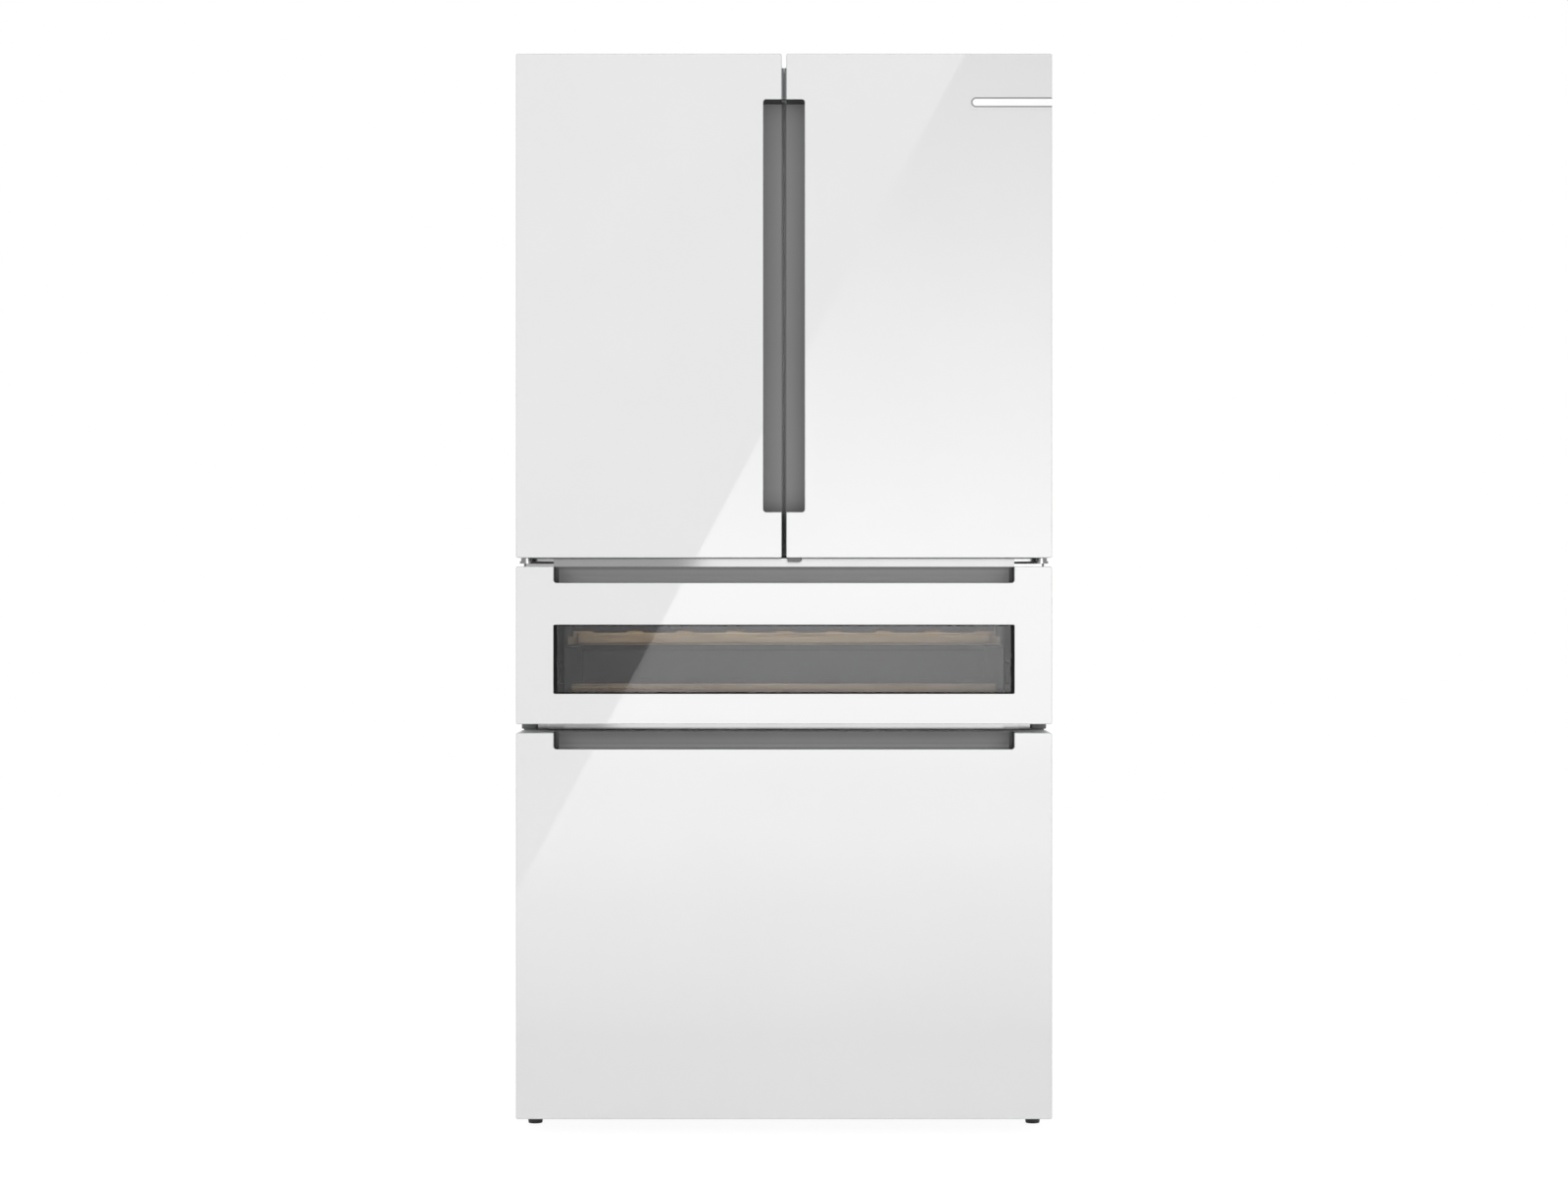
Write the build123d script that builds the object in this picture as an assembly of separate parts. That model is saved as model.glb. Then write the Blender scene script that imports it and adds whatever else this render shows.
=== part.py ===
from build123d import *
import os

# French door refrigerator: two glass doors over a wine drawer and a freezer drawer.
# Millimetres. X points right, Y to the back and Z up; the origin is on the floor under the middle.

# Overall size
WIDTH = 905.0
HEIGHT = 1829.0
DEPTH = 731.0

# Fronts: glass on a foamed shell, from the floor up
PLINTH = 30.0
FREEZER_HEIGHT = 652.0
WINE_HEIGHT = 266.0
FRONT_GAP = 15.0
DOOR_GAP = 8.0
DOOR_THICKNESS = 105.0
SEAL_SPACE = 16.0
GLASS = 4.0
GLASS_EDGE = 1.0
FRONT_CORNER = 3.0
SHELL_CORNER = 4.0
PLATE = 7.5
PLATE_INSET = 10.0
PLATE_CORNER = 14.0

# Recessed handles
DOOR_HANDLE_END_GAP = 77.0
DOOR_HANDLE_MOUTH = 31.0
DRAWER_HANDLE_LENGTH = 778.0
DRAWER_HANDLE_MOUTH = 27.5
HANDLE_DEPTH = 46.0
HANDLE_LIP = 6.0
HANDLE_UNDERCUT = 12.0
HANDLE_WALL = 2.5
HANDLE_CORNER = 5.0

# Bare bar at the upper outer corner of the right door
BAR_LENGTH = 137.0
BAR_HEIGHT = 20.0
BAR_DROP = 73.5
BAR_PROUD = 1.2

# Wine window
WINDOW_WIDTH = 779.0
WINDOW_HEIGHT = 117.0
WINDOW_DROP = 98.0
WINDOW_CORNER = 3.0
WINDOW_FRAME = 3.0
INNER_PANE_SETBACK = 14.0

# Gaskets
GASKET_WIDTH = 16.0
GASKET_FOOT = 6.0
GASKET_STEP = 2.0
GASKET_CORNER = 12.0
GASKET_OUTER_INSET = 20.0
GASKET_CENTRE_INSET = 12.0
GASKET_END_INSET = 7.0

# Cabinet
CASE_INSET = 3.0
TOP_REVEAL = 11.0
CASE_BOTTOM = 42.0
SHEET = 1.5
LINER = 2.5
SIDE_WALL = 45.0
TOP_WALL = 50.0
BACK_WALL = 60.0
BACK_INSET = 6.0
RIB_INSET = 112.0
RIB_END_INSET = 140.0
RIB_BEND = 60.0
RAIL_HEIGHT = 58.0
RAIL_LIP = 14.0
FREEZER_FLOOR = 120.0
LINER_CORNER = 10.0
MACHINE_HEIGHT = 330.0
MACHINE_DEPTH = 225.0
STEP_WALL = 40.0

# Door hinges
HINGE_INSET = 12.5
HINGE_SETBACK = 55.0
HINGE_PLATE = 4.0
HINGE_TIP = 11.0
HINGE_COLLAR = 8.8
HINGE_TAIL = 42.0
HINGE_TAIL_DEPTH = 70.0
HINGE_NOTCH_GAP = 2.0
PIN_RADIUS = 5.0
PIN_LENGTH = 22.0
RUNNING_FIT = 0.05
MOVING_GAP = 0.3

# Door liners: the raised rim that holds the bins
RIM_CENTRE_INSET = 44.0
RIM_HINGE_INSET = 80.0
RIM_BOTTOM_INSET = 28.0
RIM_TOP_INSET = 67.0
RIM_WALL = 14.0
RIM_DEPTH = 60.0
RIM_CORNER = 20.0
RIM_EDGE = 4.0

# Door bins
BIN_WALL = 2.5
BIN_HEIGHT = 100.0
BIN_DEPTH = 104.0
LOW_BIN_DEPTH = 76.0
BIN_CORNER = 22.0
BINS = 3
BIN_RISE = 16.0
BIN_LUG = 8.0

# Flip mullion on the left door
MULLION_LENGTH = 54.0
MULLION_THICKNESS = 18.0
MULLION_ROUND = 8.0
MULLION_PIVOT_INSET = 30.0
MULLION_PIVOT_SETBACK = 9.5
MULLION_PIN_RADIUS = 3.0
MULLION_PIN_LENGTH = 5.0
MULLION_LUG = 6.0
MULLION_END_INSET = 34.0

# Fridge fittings
SHELVES = 3
SHELF_OVER_CRISPER = 14.7
SHELF_BIN_GAP = 27.8
SHELF_FRAME = 18.0
SHELF_FRAME_HEIGHT = 14.0
SHELF_PANE = 4.0
SHELF_SIDE_GAP = 3.0
SHELF_CORNER = 12.0
LEDGE = 14.0
LEDGE_HEIGHT = 8.0
CRISPER_SETBACK = 53.0
CRISPER_HEIGHT = 200.0
CRISPER_WALL = 3.0
CRISPER_GAP = 12.0
CRISPER_CORNER = 14.0
CRISPER_GRIP = 14.0
DUCT_WIDTH = 260.0
DUCT_END_GAP = 74.0
DUCT_THICKNESS = 18.0
DUCT_VENTS = 6
LIGHT_WIDTH = 400.0
LIGHT_DEPTH = 40.0
LIGHT_HEIGHT = 10.0
LIGHT_SETBACK = 70.0
LIGHT_EDGE = 3.0

# Drawer slides and frames
SLIDE_THICKNESS = 8.0
SLIDE_HEIGHT = 36.0
SLIDE_WALL = 2.0
SLIDE_BACK_GAP = 30.8
SLIDE_SETBACK = 8.0
ARM = 2.0
ARM_FLANGE = 26.0
CROSSBAR = 16.0
TRAY_FLANGE = 10.0
TRAY_STEP = 30.0
WINE_SLIDE_RISE = 60.0
FREEZER_SLIDE_RISE = 290.0

# Wine racks
LOW_RACK_RISE = 16.0
RACK_PITCH = 93.0
RACK_BACK_GAP = 42.0
RACK_SETBACK = 60.0
RACK_BAR = 14.0
RACK_BAR_HEIGHT = 24.0
RACK_BARS = 3
CRADLE_SPACING = 87.0
CRADLE_RADIUS = 38.0
CRADLE_FLOOR = 8.0
RACK_STRINGER = 18.0
TRIM_THICKNESS = 18.0
UPPER_TRIM_INSET = 17.6
UPPER_TRIM_RISE = 3.0
UPPER_TRIM_HEIGHT = 18.0
LOWER_TRIM_INSET = 7.1
LOWER_TRIM_RISE = 1.0
LOWER_TRIM_HEIGHT = 24.0
TRIM_EDGE = 3.0
TRIM_ROUND = 2.4

# Freezer basket and tray
BASKET_GAP = 9.0
BASKET_BACK_GAP = 14.8
BASKET_HEIGHT = 280.0
BASKET_DRAFT = 18.0
BASKET_WALL = 3.0
BASKET_RIM = 4.0
BASKET_CORNER = 26.0
BASKET_SETBACK = 14.0
TRAY_GAP = 40.0
TRAY_TRAVEL = 150.0
TRAY_STOP_GAP = 9.0
TRAY_HEIGHT = 105.0
TRAY_SKID = 6.0
TRAY_SETBACK = 18.0

# Machine space at the lower back
COMPRESSOR_RADIUS = 78.0
COMPRESSOR_HEIGHT = 200.0
COMPRESSOR_INSET = 238.0
COMPRESSOR_PLATE = 4.0
COMPRESSOR_DOME = 56.0
COMPRESSOR_FOOT = 24.0
COMPRESSOR_SEAM = 90.0
MOUNT_RADIUS = 13.0
MOUNT_WAIST = 10.0
MOUNT_HEIGHT = 18.0
MOUNT_SPREAD = 75.0
FAN_SIZE = 160.0
FAN_TO_PAN = 210.0
FAN_FRAME = 22.0
FAN_RADIUS = 66.0
FAN_HUB = 20.0
FAN_ROOT = 16.0
FAN_SEAT = 14.0
FAN_BLADES = 5
ROOT_PITCH = 38.0
TIP_PITCH = 20.0
ROOT_BLADE = 3.0
TIP_BLADE = 2.4
TIP_CHORD = 39.0
BLADE_EDGE = 1.0
FAN_SHAFT = 3.0
FAN_SPOKE = 8.0
PAN_WIDTH = 290.0
PAN_DEPTH = 170.0
PAN_HEIGHT = 34.0
PAN_WALL = 2.0
PAN_INSET = 218.0
COIL_PASSES = 5
COIL_PITCH = 32.0
COIL_LENGTH = 210.0
COIL_TUBE = 4.0
COIL_ROWS = 2
COIL_ROW_PITCH = 60.0
COIL_PLATE = 2.0
COIL_PLATE_INSET = 10.0
COIL_PLATE_MARGIN = 20.0
LOUVRES = 7
LOUVRE_PITCH = 26.0
LOUVRE_WIDTH = 250.0
LOUVRE_HEIGHT = 8.0
LOUVRE_COLUMN = 275.0
INLET_WIDTH = 48.0
INLET_HEIGHT = 28.0
INLET_DEPTH = 22.0
INLET_FLANGE = 7.0
INLET_CORNER = 4.5
INLET_WALL = 3.5
INLET_FLOOR = 4.5
BLADE_SPACING = 9.6
BLADE_STAGGER = 3.7
INLET_INSET = 88.0
INLET_Z = 250.0

# Evaporator behind the freezer's back panel
COVER_SETBACK = 70.0
COVER = 4.0
EVAPORATOR_WIDTH = 560.0
EVAPORATOR_HEIGHT = 110.0
EVAPORATOR_DEPTH = 44.0
FINS = 12
FIN = 1.5
FIN_MARGIN = 14.0
EVAPORATOR_TUBES = 3
EVAPORATOR_FAN_DROP = 85.0
COVER_VENTS = 8
VENT_PITCH = 40.0
VENT_LENGTH = 60.0
VENT_WIDTH = 8.0

# Feet, rollers and base frame
FOOT_SETBACK = 17.0
FOOT_TOP_RADIUS = 15.0
FOOT_RADIUS = 12.0
FOOT_HEIGHT = 22.0
STUD_RADIUS = 6.0
BASE_RUNNER = 34.0
BASE_HEIGHT = 18.0
BASE_SHEET = 2.0
ROLLER_RADIUS = 20.0
ROLLER_WIDTH = 20.0
ROLLER_INSET = 34.0
ROLLER_SETBACK = 60.0
AXLE_RADIUS = 5.0
EAR = 4.0
EAR_WIDTH = 26.0
EAR_ROUND = 8.0

# Places worked out from the sizes above
FRONT_Y = -DEPTH / 2 + BAR_PROUD
SHELL_Y = FRONT_Y + GLASS
DOOR_BACK = FRONT_Y + DOOR_THICKNESS
PLATE_Y = DOOR_BACK - PLATE
CASE_FRONT = DOOR_BACK + SEAL_SPACE
CASE_BACK = DEPTH / 2
CASE_HALF = WIDTH / 2 - CASE_INSET
CASE_TOP = HEIGHT - TOP_REVEAL
FOAM_BACK = CASE_BACK - BACK_INSET - SHEET

FREEZER_Z = (PLINTH, PLINTH + FREEZER_HEIGHT)
WINE_Z = (FREEZER_Z[1] + FRONT_GAP, FREEZER_Z[1] + FRONT_GAP + WINE_HEIGHT)
DOOR_Z = (WINE_Z[1] + FRONT_GAP, HEIGHT)
DOOR_X = (DOOR_GAP / 2, WIDTH / 2)

UPPER_RAIL_Z = WINE_Z[1] + FRONT_GAP / 2
LOWER_RAIL_Z = FREEZER_Z[1] + FRONT_GAP / 2
IN_HALF = CASE_HALF - SIDE_WALL
IN_BACK = CASE_BACK - BACK_WALL
FRIDGE_IN = (UPPER_RAIL_Z + RAIL_HEIGHT / 2, CASE_TOP - TOP_WALL)
WINE_IN = (LOWER_RAIL_Z + RAIL_HEIGHT / 2, UPPER_RAIL_Z - RAIL_HEIGHT / 2)
FREEZER_IN = (FREEZER_FLOOR, LOWER_RAIL_Z - RAIL_HEIGHT / 2)
STEP_Y = CASE_BACK - MACHINE_DEPTH - STEP_WALL
STEP_Z = MACHINE_HEIGHT + STEP_WALL

HINGE_X = WIDTH / 2 - HINGE_INSET
HINGE_Y = FRONT_Y + HINGE_SETBACK
DOOR_HANDLE_Z = (DOOR_Z[0] + DOOR_HANDLE_END_GAP, DOOR_Z[1] - DOOR_HANDLE_END_GAP)
WINDOW_Z = (WINE_Z[1] - WINDOW_DROP - WINDOW_HEIGHT, WINE_Z[1] - WINDOW_DROP)
ARM_X = IN_HALF - 3 * SLIDE_THICKNESS - 2 * MOVING_GAP
SHELF_Y = (DOOR_BACK + BIN_DEPTH + SHELF_BIN_GAP, IN_BACK - DUCT_THICKNESS)
FIRST_SHELF_Z = FRIDGE_IN[0] + MOVING_GAP + CRISPER_HEIGHT + SHELF_OVER_CRISPER
SHELF_PITCH = (FRIDGE_IN[1] - FIRST_SHELF_Z) / SHELVES
SHELF_Z = [FIRST_SHELF_Z + i * SHELF_PITCH for i in range(SHELVES)]
RIM_Z = (DOOR_Z[0] + RIM_BOTTOM_INSET, DOOR_Z[1] - RIM_TOP_INSET)
FIRST_BIN_Z = RIM_Z[0] + RIM_WALL + BIN_RISE
BIN_PITCH = (RIM_Z[1] - RIM_WALL - FIRST_BIN_Z) / BINS
BASE_FLOOR = CASE_BOTTOM + BASE_SHEET
MACHINE_Y = CASE_BACK - MACHINE_DEPTH
MACHINE_MID_Y = CASE_BACK - MACHINE_DEPTH / 2
COMPRESSOR_X = COMPRESSOR_INSET + SHEET - CASE_HALF
PAN_X = CASE_HALF - SHEET - PAN_INSET
FAN_X = PAN_X - FAN_TO_PAN
FAN_Z = BASE_FLOOR + FAN_SIZE / 2
COVER_Y = IN_BACK - COVER_SETBACK
SLIDE_Y = (CASE_FRONT + SLIDE_SETBACK, COVER_Y - SLIDE_BACK_GAP)
BASE_TOP = CASE_BOTTOM + BASE_HEIGHT
FOOT_X = CASE_HALF - SHEET - BASE_RUNNER / 2
ROLLER_X = CASE_HALF - SHEET - BASE_RUNNER - ROLLER_INSET
ROLLER_Y = CASE_BACK - ROLLER_SETBACK
INLET_X = INLET_INSET + SHEET - CASE_HALF
MULLION_X = -MULLION_PIVOT_INSET
MULLION_Y = CASE_FRONT + MULLION_PIVOT_SETBACK
WINE_SLIDE_Z = WINE_IN[0] + WINE_SLIDE_RISE
FREEZER_SLIDE_Z = FREEZER_IN[0] + FREEZER_SLIDE_RISE
LOW_RACK_Z = WINE_IN[0] + LOW_RACK_RISE
BASKET_Z = FREEZER_SLIDE_Z + SLIDE_HEIGHT / 2
TRAY_Z = BASKET_Z + TRAY_STEP
EVAPORATOR_FAN_Z = FREEZER_IN[1] - EVAPORATOR_FAN_DROP


# Helpers: sketches in the three main planes, and prisms from them
def area(low, high, corner=0.0):
    """A rectangle between two corners, with rounded corners if asked."""
    width = high[0] - low[0]
    height = high[1] - low[1]
    middle = Pos((low[0] + high[0]) / 2, (low[1] + high[1]) / 2)
    if corner:
        return middle * RectangleRounded(width, height, corner)
    return middle * Rectangle(width, height)


def along_y(sketch, start, end):
    """A sketch drawn in X and Z, carried from one depth to another."""
    return extrude(Plane.XZ.offset(-end) * sketch, amount=end - start)


def along_z(sketch, start, end):
    """A sketch drawn in X and Y, carried from one height to another."""
    return extrude(Pos(0, 0, start) * sketch, amount=end - start)


def along_x(sketch, start, end):
    """A sketch drawn in Y and Z, carried across from one side to another."""
    return extrude(Plane.YZ.offset(start) * sketch, amount=end - start)


def both_sides(shape):
    """A piece and its mirror image in the middle plane."""
    return [shape, mirror(shape, about=Plane.YZ)]


def group(*shapes):
    """Separate solids that share one node."""
    return Compound([solid for shape in shapes for solid in shape.solids()])


# Fronts
def scoop(mouth, grow):
    """Section of a recessed handle: u from the open edge, v back from the shell's face."""
    floor = HANDLE_DEPTH + grow
    edge = mouth + grow
    middle = (HANDLE_LIP + HANDLE_DEPTH) / 2
    lip = Polyline((0, floor), (0, 0), (edge, 0), (edge, HANDLE_LIP))
    bow = ThreePointArc((edge, HANDLE_LIP), (edge + HANDLE_UNDERCUT, middle), (edge, floor))
    return make_face([*lip.edges(), bow, Line((edge, floor), (0, floor))])


def handle(place, mouth, length):
    """The handle channel at a place, and the pocket that the shell has for it."""
    ends = Pos(0, 0, -HANDLE_WALL)
    pocket = ends * extrude(scoop(mouth, HANDLE_WALL), amount=length + 2 * HANDLE_WALL)
    channel = pocket - extrude(scoop(mouth, 0), amount=length)
    return place * channel, place * pocket


def notched_glass(x_span, z_span, notch, holes=()):
    """A glass front with eased edges, cut for its handle and any window."""
    face = area((x_span[0], z_span[0]), (x_span[1], z_span[1]), FRONT_CORNER) - notch
    pane = along_y(face, FRONT_Y, SHELL_Y)
    pane = chamfer(pane.faces().sort_by(Axis.Y)[0].edges(), GLASS_EDGE)
    for hole in holes:
        pane -= along_y(hole, FRONT_Y, SHELL_Y)
    return pane


def gasket(x_span, z_span):
    """A magnet seal: a wide foot on the front and a narrower bellows towards the cabinet."""
    foot_out = area((x_span[0], z_span[0]), (x_span[1], z_span[1]), GASKET_CORNER)
    foot_in = offset(foot_out, amount=-GASKET_WIDTH)
    bellows_out = offset(foot_out, amount=-GASKET_STEP)
    bellows_in = offset(foot_out, amount=GASKET_STEP - GASKET_WIDTH)
    foot = along_y(foot_out - foot_in, DOOR_BACK, DOOR_BACK + GASKET_FOOT)
    bellows = along_y(bellows_out - bellows_in, DOOR_BACK + GASKET_FOOT, CASE_FRONT - MOVING_GAP)
    return foot + bellows


def door_bin(low, depth):
    """A clear bin between the rim's walls, bowed towards the cabinet, with hooks on its ends."""
    x0 = RIM_CENTRE_INSET + RIM_WALL + MOVING_GAP
    x1 = WIDTH / 2 - RIM_HINGE_INSET - RIM_WALL - MOVING_GAP
    body = area((x0, DOOR_BACK + MOVING_GAP), (x1, DOOR_BACK + depth), BIN_CORNER)
    tub = along_z(body, low, low + BIN_HEIGHT)
    hollow = along_z(offset(body, amount=-BIN_WALL), low + BIN_WALL, low + BIN_HEIGHT)
    lip_ring = offset(body, amount=BIN_WALL / 2) - offset(body, amount=-BIN_WALL)
    clear_of_rim = area((x0, DOOR_BACK + MOVING_GAP), (x1, DOOR_BACK + depth + BIN_WALL))
    lip = along_z(lip_ring & clear_of_rim, low + BIN_HEIGHT - BIN_LUG, low + BIN_HEIGHT)
    return tub - hollow + lip


def door_parts():
    """The right door's pieces by name."""
    x0, x1 = DOOR_X
    z0, z1 = DOOR_Z
    grip_place = Plane(origin=(x0, SHELL_Y, DOOR_HANDLE_Z[0]), x_dir=(1, 0, 0), z_dir=(0, 0, 1))
    channel, pocket = handle(grip_place, DOOR_HANDLE_MOUTH, DOOR_HANDLE_Z[1] - DOOR_HANDLE_Z[0])
    notch = area((x0 - HANDLE_CORNER, DOOR_HANDLE_Z[0]),
                 (x0 + DOOR_HANDLE_MOUTH, DOOR_HANDLE_Z[1]), HANDLE_CORNER)
    glass = notched_glass(DOOR_X, DOOR_Z, notch)

    shell = along_y(area((x0, z0), (x1, z1), FRONT_CORNER), SHELL_Y, PLATE_Y)
    shell = fillet(shell.faces().sort_by(Axis.Y)[-1].edges(), SHELL_CORNER)
    notch_x = HINGE_X - HINGE_TAIL - HINGE_NOTCH_GAP
    notch_y = HINGE_Y - HINGE_TIP - HINGE_TAIL / 2
    hinge_notch = along_z(area((notch_x, notch_y), (x1, PLATE_Y)), CASE_TOP - HINGE_NOTCH_GAP, z1)
    bore = Circle(PIN_RADIUS + RUNNING_FIT)
    low_bore = Pos(HINGE_X, HINGE_Y, z0) * extrude(bore, amount=PIN_LENGTH)
    top_bore = Pos(HINGE_X, HINGE_Y, CASE_TOP) * extrude(bore, amount=-PIN_LENGTH)
    shell = shell - pocket - hinge_notch - low_bore - top_bore

    plate = area((x0 + PLATE_INSET, z0 + PLATE_INSET),
                 (x1 - PLATE_INSET, CASE_TOP - PLATE_INSET), PLATE_CORNER)
    rim_out = area((RIM_CENTRE_INSET, RIM_Z[0]), (x1 - RIM_HINGE_INSET, RIM_Z[1]), RIM_CORNER)
    rim = along_y(rim_out - offset(rim_out, amount=-RIM_WALL), DOOR_BACK, DOOR_BACK + RIM_DEPTH)
    rim = fillet(rim.faces().sort_by(Axis.Y)[-1].edges(), RIM_EDGE)
    liner = along_y(plate, PLATE_Y, DOOR_BACK) + rim

    seal = gasket((x0 + GASKET_CENTRE_INSET, x1 - GASKET_OUTER_INSET),
                  (z0 + GASKET_END_INSET, CASE_TOP - GASKET_OUTER_INSET))
    bins = [door_bin(FIRST_BIN_Z + i * BIN_PITCH, BIN_DEPTH if i else LOW_BIN_DEPTH) for i in range(BINS)]
    return {"glass": glass, "shell": shell, "liner": liner, "gasket": seal,
            "handle": channel, "bins": group(*bins)}


def drawer_front(z_span, window=None):
    """Glass, shell and handle of a drawer front, with an opening for a window if it has one."""
    x_span = (-WIDTH / 2, WIDTH / 2)
    half = DRAWER_HANDLE_LENGTH / 2
    top = z_span[1]
    grip_place = Plane(origin=(-half, SHELL_Y, top), x_dir=(0, 0, -1), z_dir=(1, 0, 0))
    channel, pocket = handle(grip_place, DRAWER_HANDLE_MOUTH, DRAWER_HANDLE_LENGTH)
    notch = area((-half, top - DRAWER_HANDLE_MOUTH), (half, top + HANDLE_CORNER), HANDLE_CORNER)
    shell = along_y(area((x_span[0], z_span[0]), (x_span[1], top), FRONT_CORNER), SHELL_Y, DOOR_BACK)
    shell = fillet(shell.faces().sort_by(Axis.Y)[-1].edges(), SHELL_CORNER) - pocket
    if window is None:
        return notched_glass(x_span, z_span, notch), shell, channel
    tunnel = along_y(offset(window, amount=WINDOW_FRAME), SHELL_Y, DOOR_BACK)
    return notched_glass(x_span, z_span, notch, [window]), shell - tunnel, channel


def drawer_gasket(low, high):
    """The seal behind a drawer front, between two heights."""
    return gasket((-WIDTH / 2 + GASKET_OUTER_INSET, WIDTH / 2 - GASKET_OUTER_INSET), (low, high))


# Cabinet
def liner_space(z_span, grow):
    """The inside of a compartment, or its outside when grown by the liner's wall."""
    side = area((-IN_HALF - grow, z_span[0] - grow), (IN_HALF + grow, z_span[1] + grow), LINER_CORNER)
    return along_y(side, CASE_FRONT, IN_BACK + grow)


def freezer_step(grow):
    """The raised floor at the freezer's back, over the machine space, drawn in by the liner's wall."""
    side = area((STEP_Y + grow, FREEZER_IN[0] - 2 * LINER), (CASE_BACK, STEP_Z - grow))
    return along_x(side, -CASE_HALF, CASE_HALF)


def compartment_spaces(grow):
    """Fridge, wine and freezer spaces."""
    freezer = liner_space(FREEZER_IN, grow) - freezer_step(grow)
    return liner_space(FRIDGE_IN, grow), liner_space(WINE_IN, grow), freezer


def outer_cabinet():
    """A bent steel wrap: two sides and a top, with a flange turned in at the front."""
    outline = area((-CASE_HALF, CASE_BOTTOM), (CASE_HALF, CASE_TOP))
    inside = area((-CASE_HALF + SHEET, CASE_BOTTOM), (CASE_HALF - SHEET, CASE_TOP - SHEET))
    wrap = along_y(outline - inside, CASE_FRONT, CASE_BACK)
    frame_in = area((-IN_HALF - LINER, CASE_BOTTOM), (IN_HALF + LINER, FRIDGE_IN[1] + LINER))
    flange = along_y(outline - frame_in, CASE_FRONT, CASE_FRONT + SHEET)
    corners = along_y(frame_in, CASE_FRONT, CASE_FRONT + SHEET)
    fill = corners & along_y(area((-CASE_HALF, FRIDGE_IN[1] - LINER_CORNER), (CASE_HALF, CASE_TOP)),
                             CASE_FRONT, CASE_BACK)
    return wrap + flange + (fill - liner_space(FRIDGE_IN, LINER))


def front_rails():
    """Pressed steel channels across the cabinet between the compartments."""
    rails = []
    for middle in (UPPER_RAIL_Z, LOWER_RAIL_Z):
        half = RAIL_HEIGHT / 2 - LINER
        outside = area((CASE_FRONT, middle - half), (CASE_FRONT + RAIL_LIP, middle + half))
        inside = area((CASE_FRONT + SHEET, middle - half + SHEET),
                      (CASE_FRONT + RAIL_LIP, middle + half - SHEET))
        rails.append(along_x(outside - inside, -IN_HALF - LINER, IN_HALF + LINER))
    return rails


def insulation(spaces, rails):
    """Foam between the wrap and the liners, cut away over the machine space."""
    body = area((-CASE_HALF + SHEET, BASE_TOP), (CASE_HALF - SHEET, CASE_TOP - SHEET))
    foam = along_y(body, CASE_FRONT + SHEET, FOAM_BACK)
    for space in spaces:
        foam -= space
    for rail in rails:
        foam -= rail
    machine = area((MACHINE_Y, CASE_BOTTOM), (CASE_BACK, MACHINE_HEIGHT))
    return foam - along_x(machine, -CASE_HALF, CASE_HALF)


def fridge_liner(outside, inside):
    """The fridge liner with a moulded ledge under each end of each shelf."""
    liner = outside - inside
    for high in SHELF_Z:
        ledge = area((IN_HALF - LEDGE, high - LEDGE_HEIGHT), (IN_HALF + LINER / 2, high))
        for strip in both_sides(along_y(ledge, SHELF_Y[0], SHELF_Y[1])):
            liner += strip
    return liner


def back_panel():
    """A steel back with two pressed ribs, above the machine space."""
    half = CASE_HALF - SHEET
    sheet = along_y(area((-half, MACHINE_HEIGHT), (half, CASE_TOP - SHEET)), FOAM_BACK, FOAM_BACK + SHEET)
    rib = area((RIB_INSET, MACHINE_HEIGHT + RIB_END_INSET),
               (half - RIB_INSET, CASE_TOP - RIB_END_INSET), RIB_BEND)
    for pad in both_sides(along_y(rib, FOAM_BACK + SHEET, CASE_BACK - SHEET)):
        sheet += pad
    return sheet


def base_frame():
    """Two side channels, a front cross member, a machine tray and the rear roller ears."""
    outer = CASE_HALF - SHEET
    channel = area((outer - BASE_RUNNER, CASE_BOTTOM), (outer, BASE_TOP))
    channel -= area((outer - BASE_RUNNER, BASE_FLOOR), (outer - BASE_SHEET, BASE_TOP - BASE_SHEET))
    runner = along_y(channel, CASE_FRONT + SHEET, FOAM_BACK)
    frame = runner + mirror(runner, about=Plane.YZ)
    apron = area((CASE_FRONT, CASE_BOTTOM), (CASE_FRONT + SHEET, FREEZER_IN[0] - LINER))
    foot_lip = area((CASE_FRONT + SHEET, CASE_BOTTOM), (CASE_FRONT + BASE_RUNNER, BASE_FLOOR))
    frame += along_x(apron, -IN_HALF - LINER, IN_HALF + LINER)
    frame += along_x(foot_lip, -outer, outer)
    frame += along_z(area((-outer, MACHINE_Y), (outer, FOAM_BACK)), CASE_BOTTOM, BASE_FLOOR)
    stud = extrude(Circle(STUD_RADIUS + RUNNING_FIT), amount=BASE_FLOOR)
    for hole in both_sides(Pos(FOOT_X, CASE_FRONT + FOOT_SETBACK, 0) * stud):
        frame -= hole
    inner = ROLLER_X + ROLLER_WIDTH / 2 + MOVING_GAP
    ear_low = ROLLER_RADIUS - EAR_WIDTH / 2
    ear = area((ROLLER_Y - EAR_WIDTH / 2, ear_low), (ROLLER_Y + EAR_WIDTH / 2, BASE_FLOOR))
    ear = fillet(ear.vertices().group_by(Axis.Y)[0], EAR_ROUND)
    ear -= Pos(ROLLER_Y, ROLLER_RADIUS) * Circle(AXLE_RADIUS + RUNNING_FIT)
    for plate in both_sides(along_x(ear, inner, inner + EAR)):
        frame += plate
    return frame


def levelling_foot():
    """A tapered foot on a threaded stud."""
    profile = Polyline((0, 0), (FOOT_RADIUS, 0), (FOOT_TOP_RADIUS, FOOT_HEIGHT), (STUD_RADIUS, FOOT_HEIGHT),
                       (STUD_RADIUS, BASE_TOP - BASE_SHEET), (0, BASE_TOP - BASE_SHEET), close=True)
    foot = revolve(Plane.XZ * make_face(profile), axis=Axis.Z)
    return Pos(FOOT_X, CASE_FRONT + FOOT_SETBACK, 0) * foot


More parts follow.
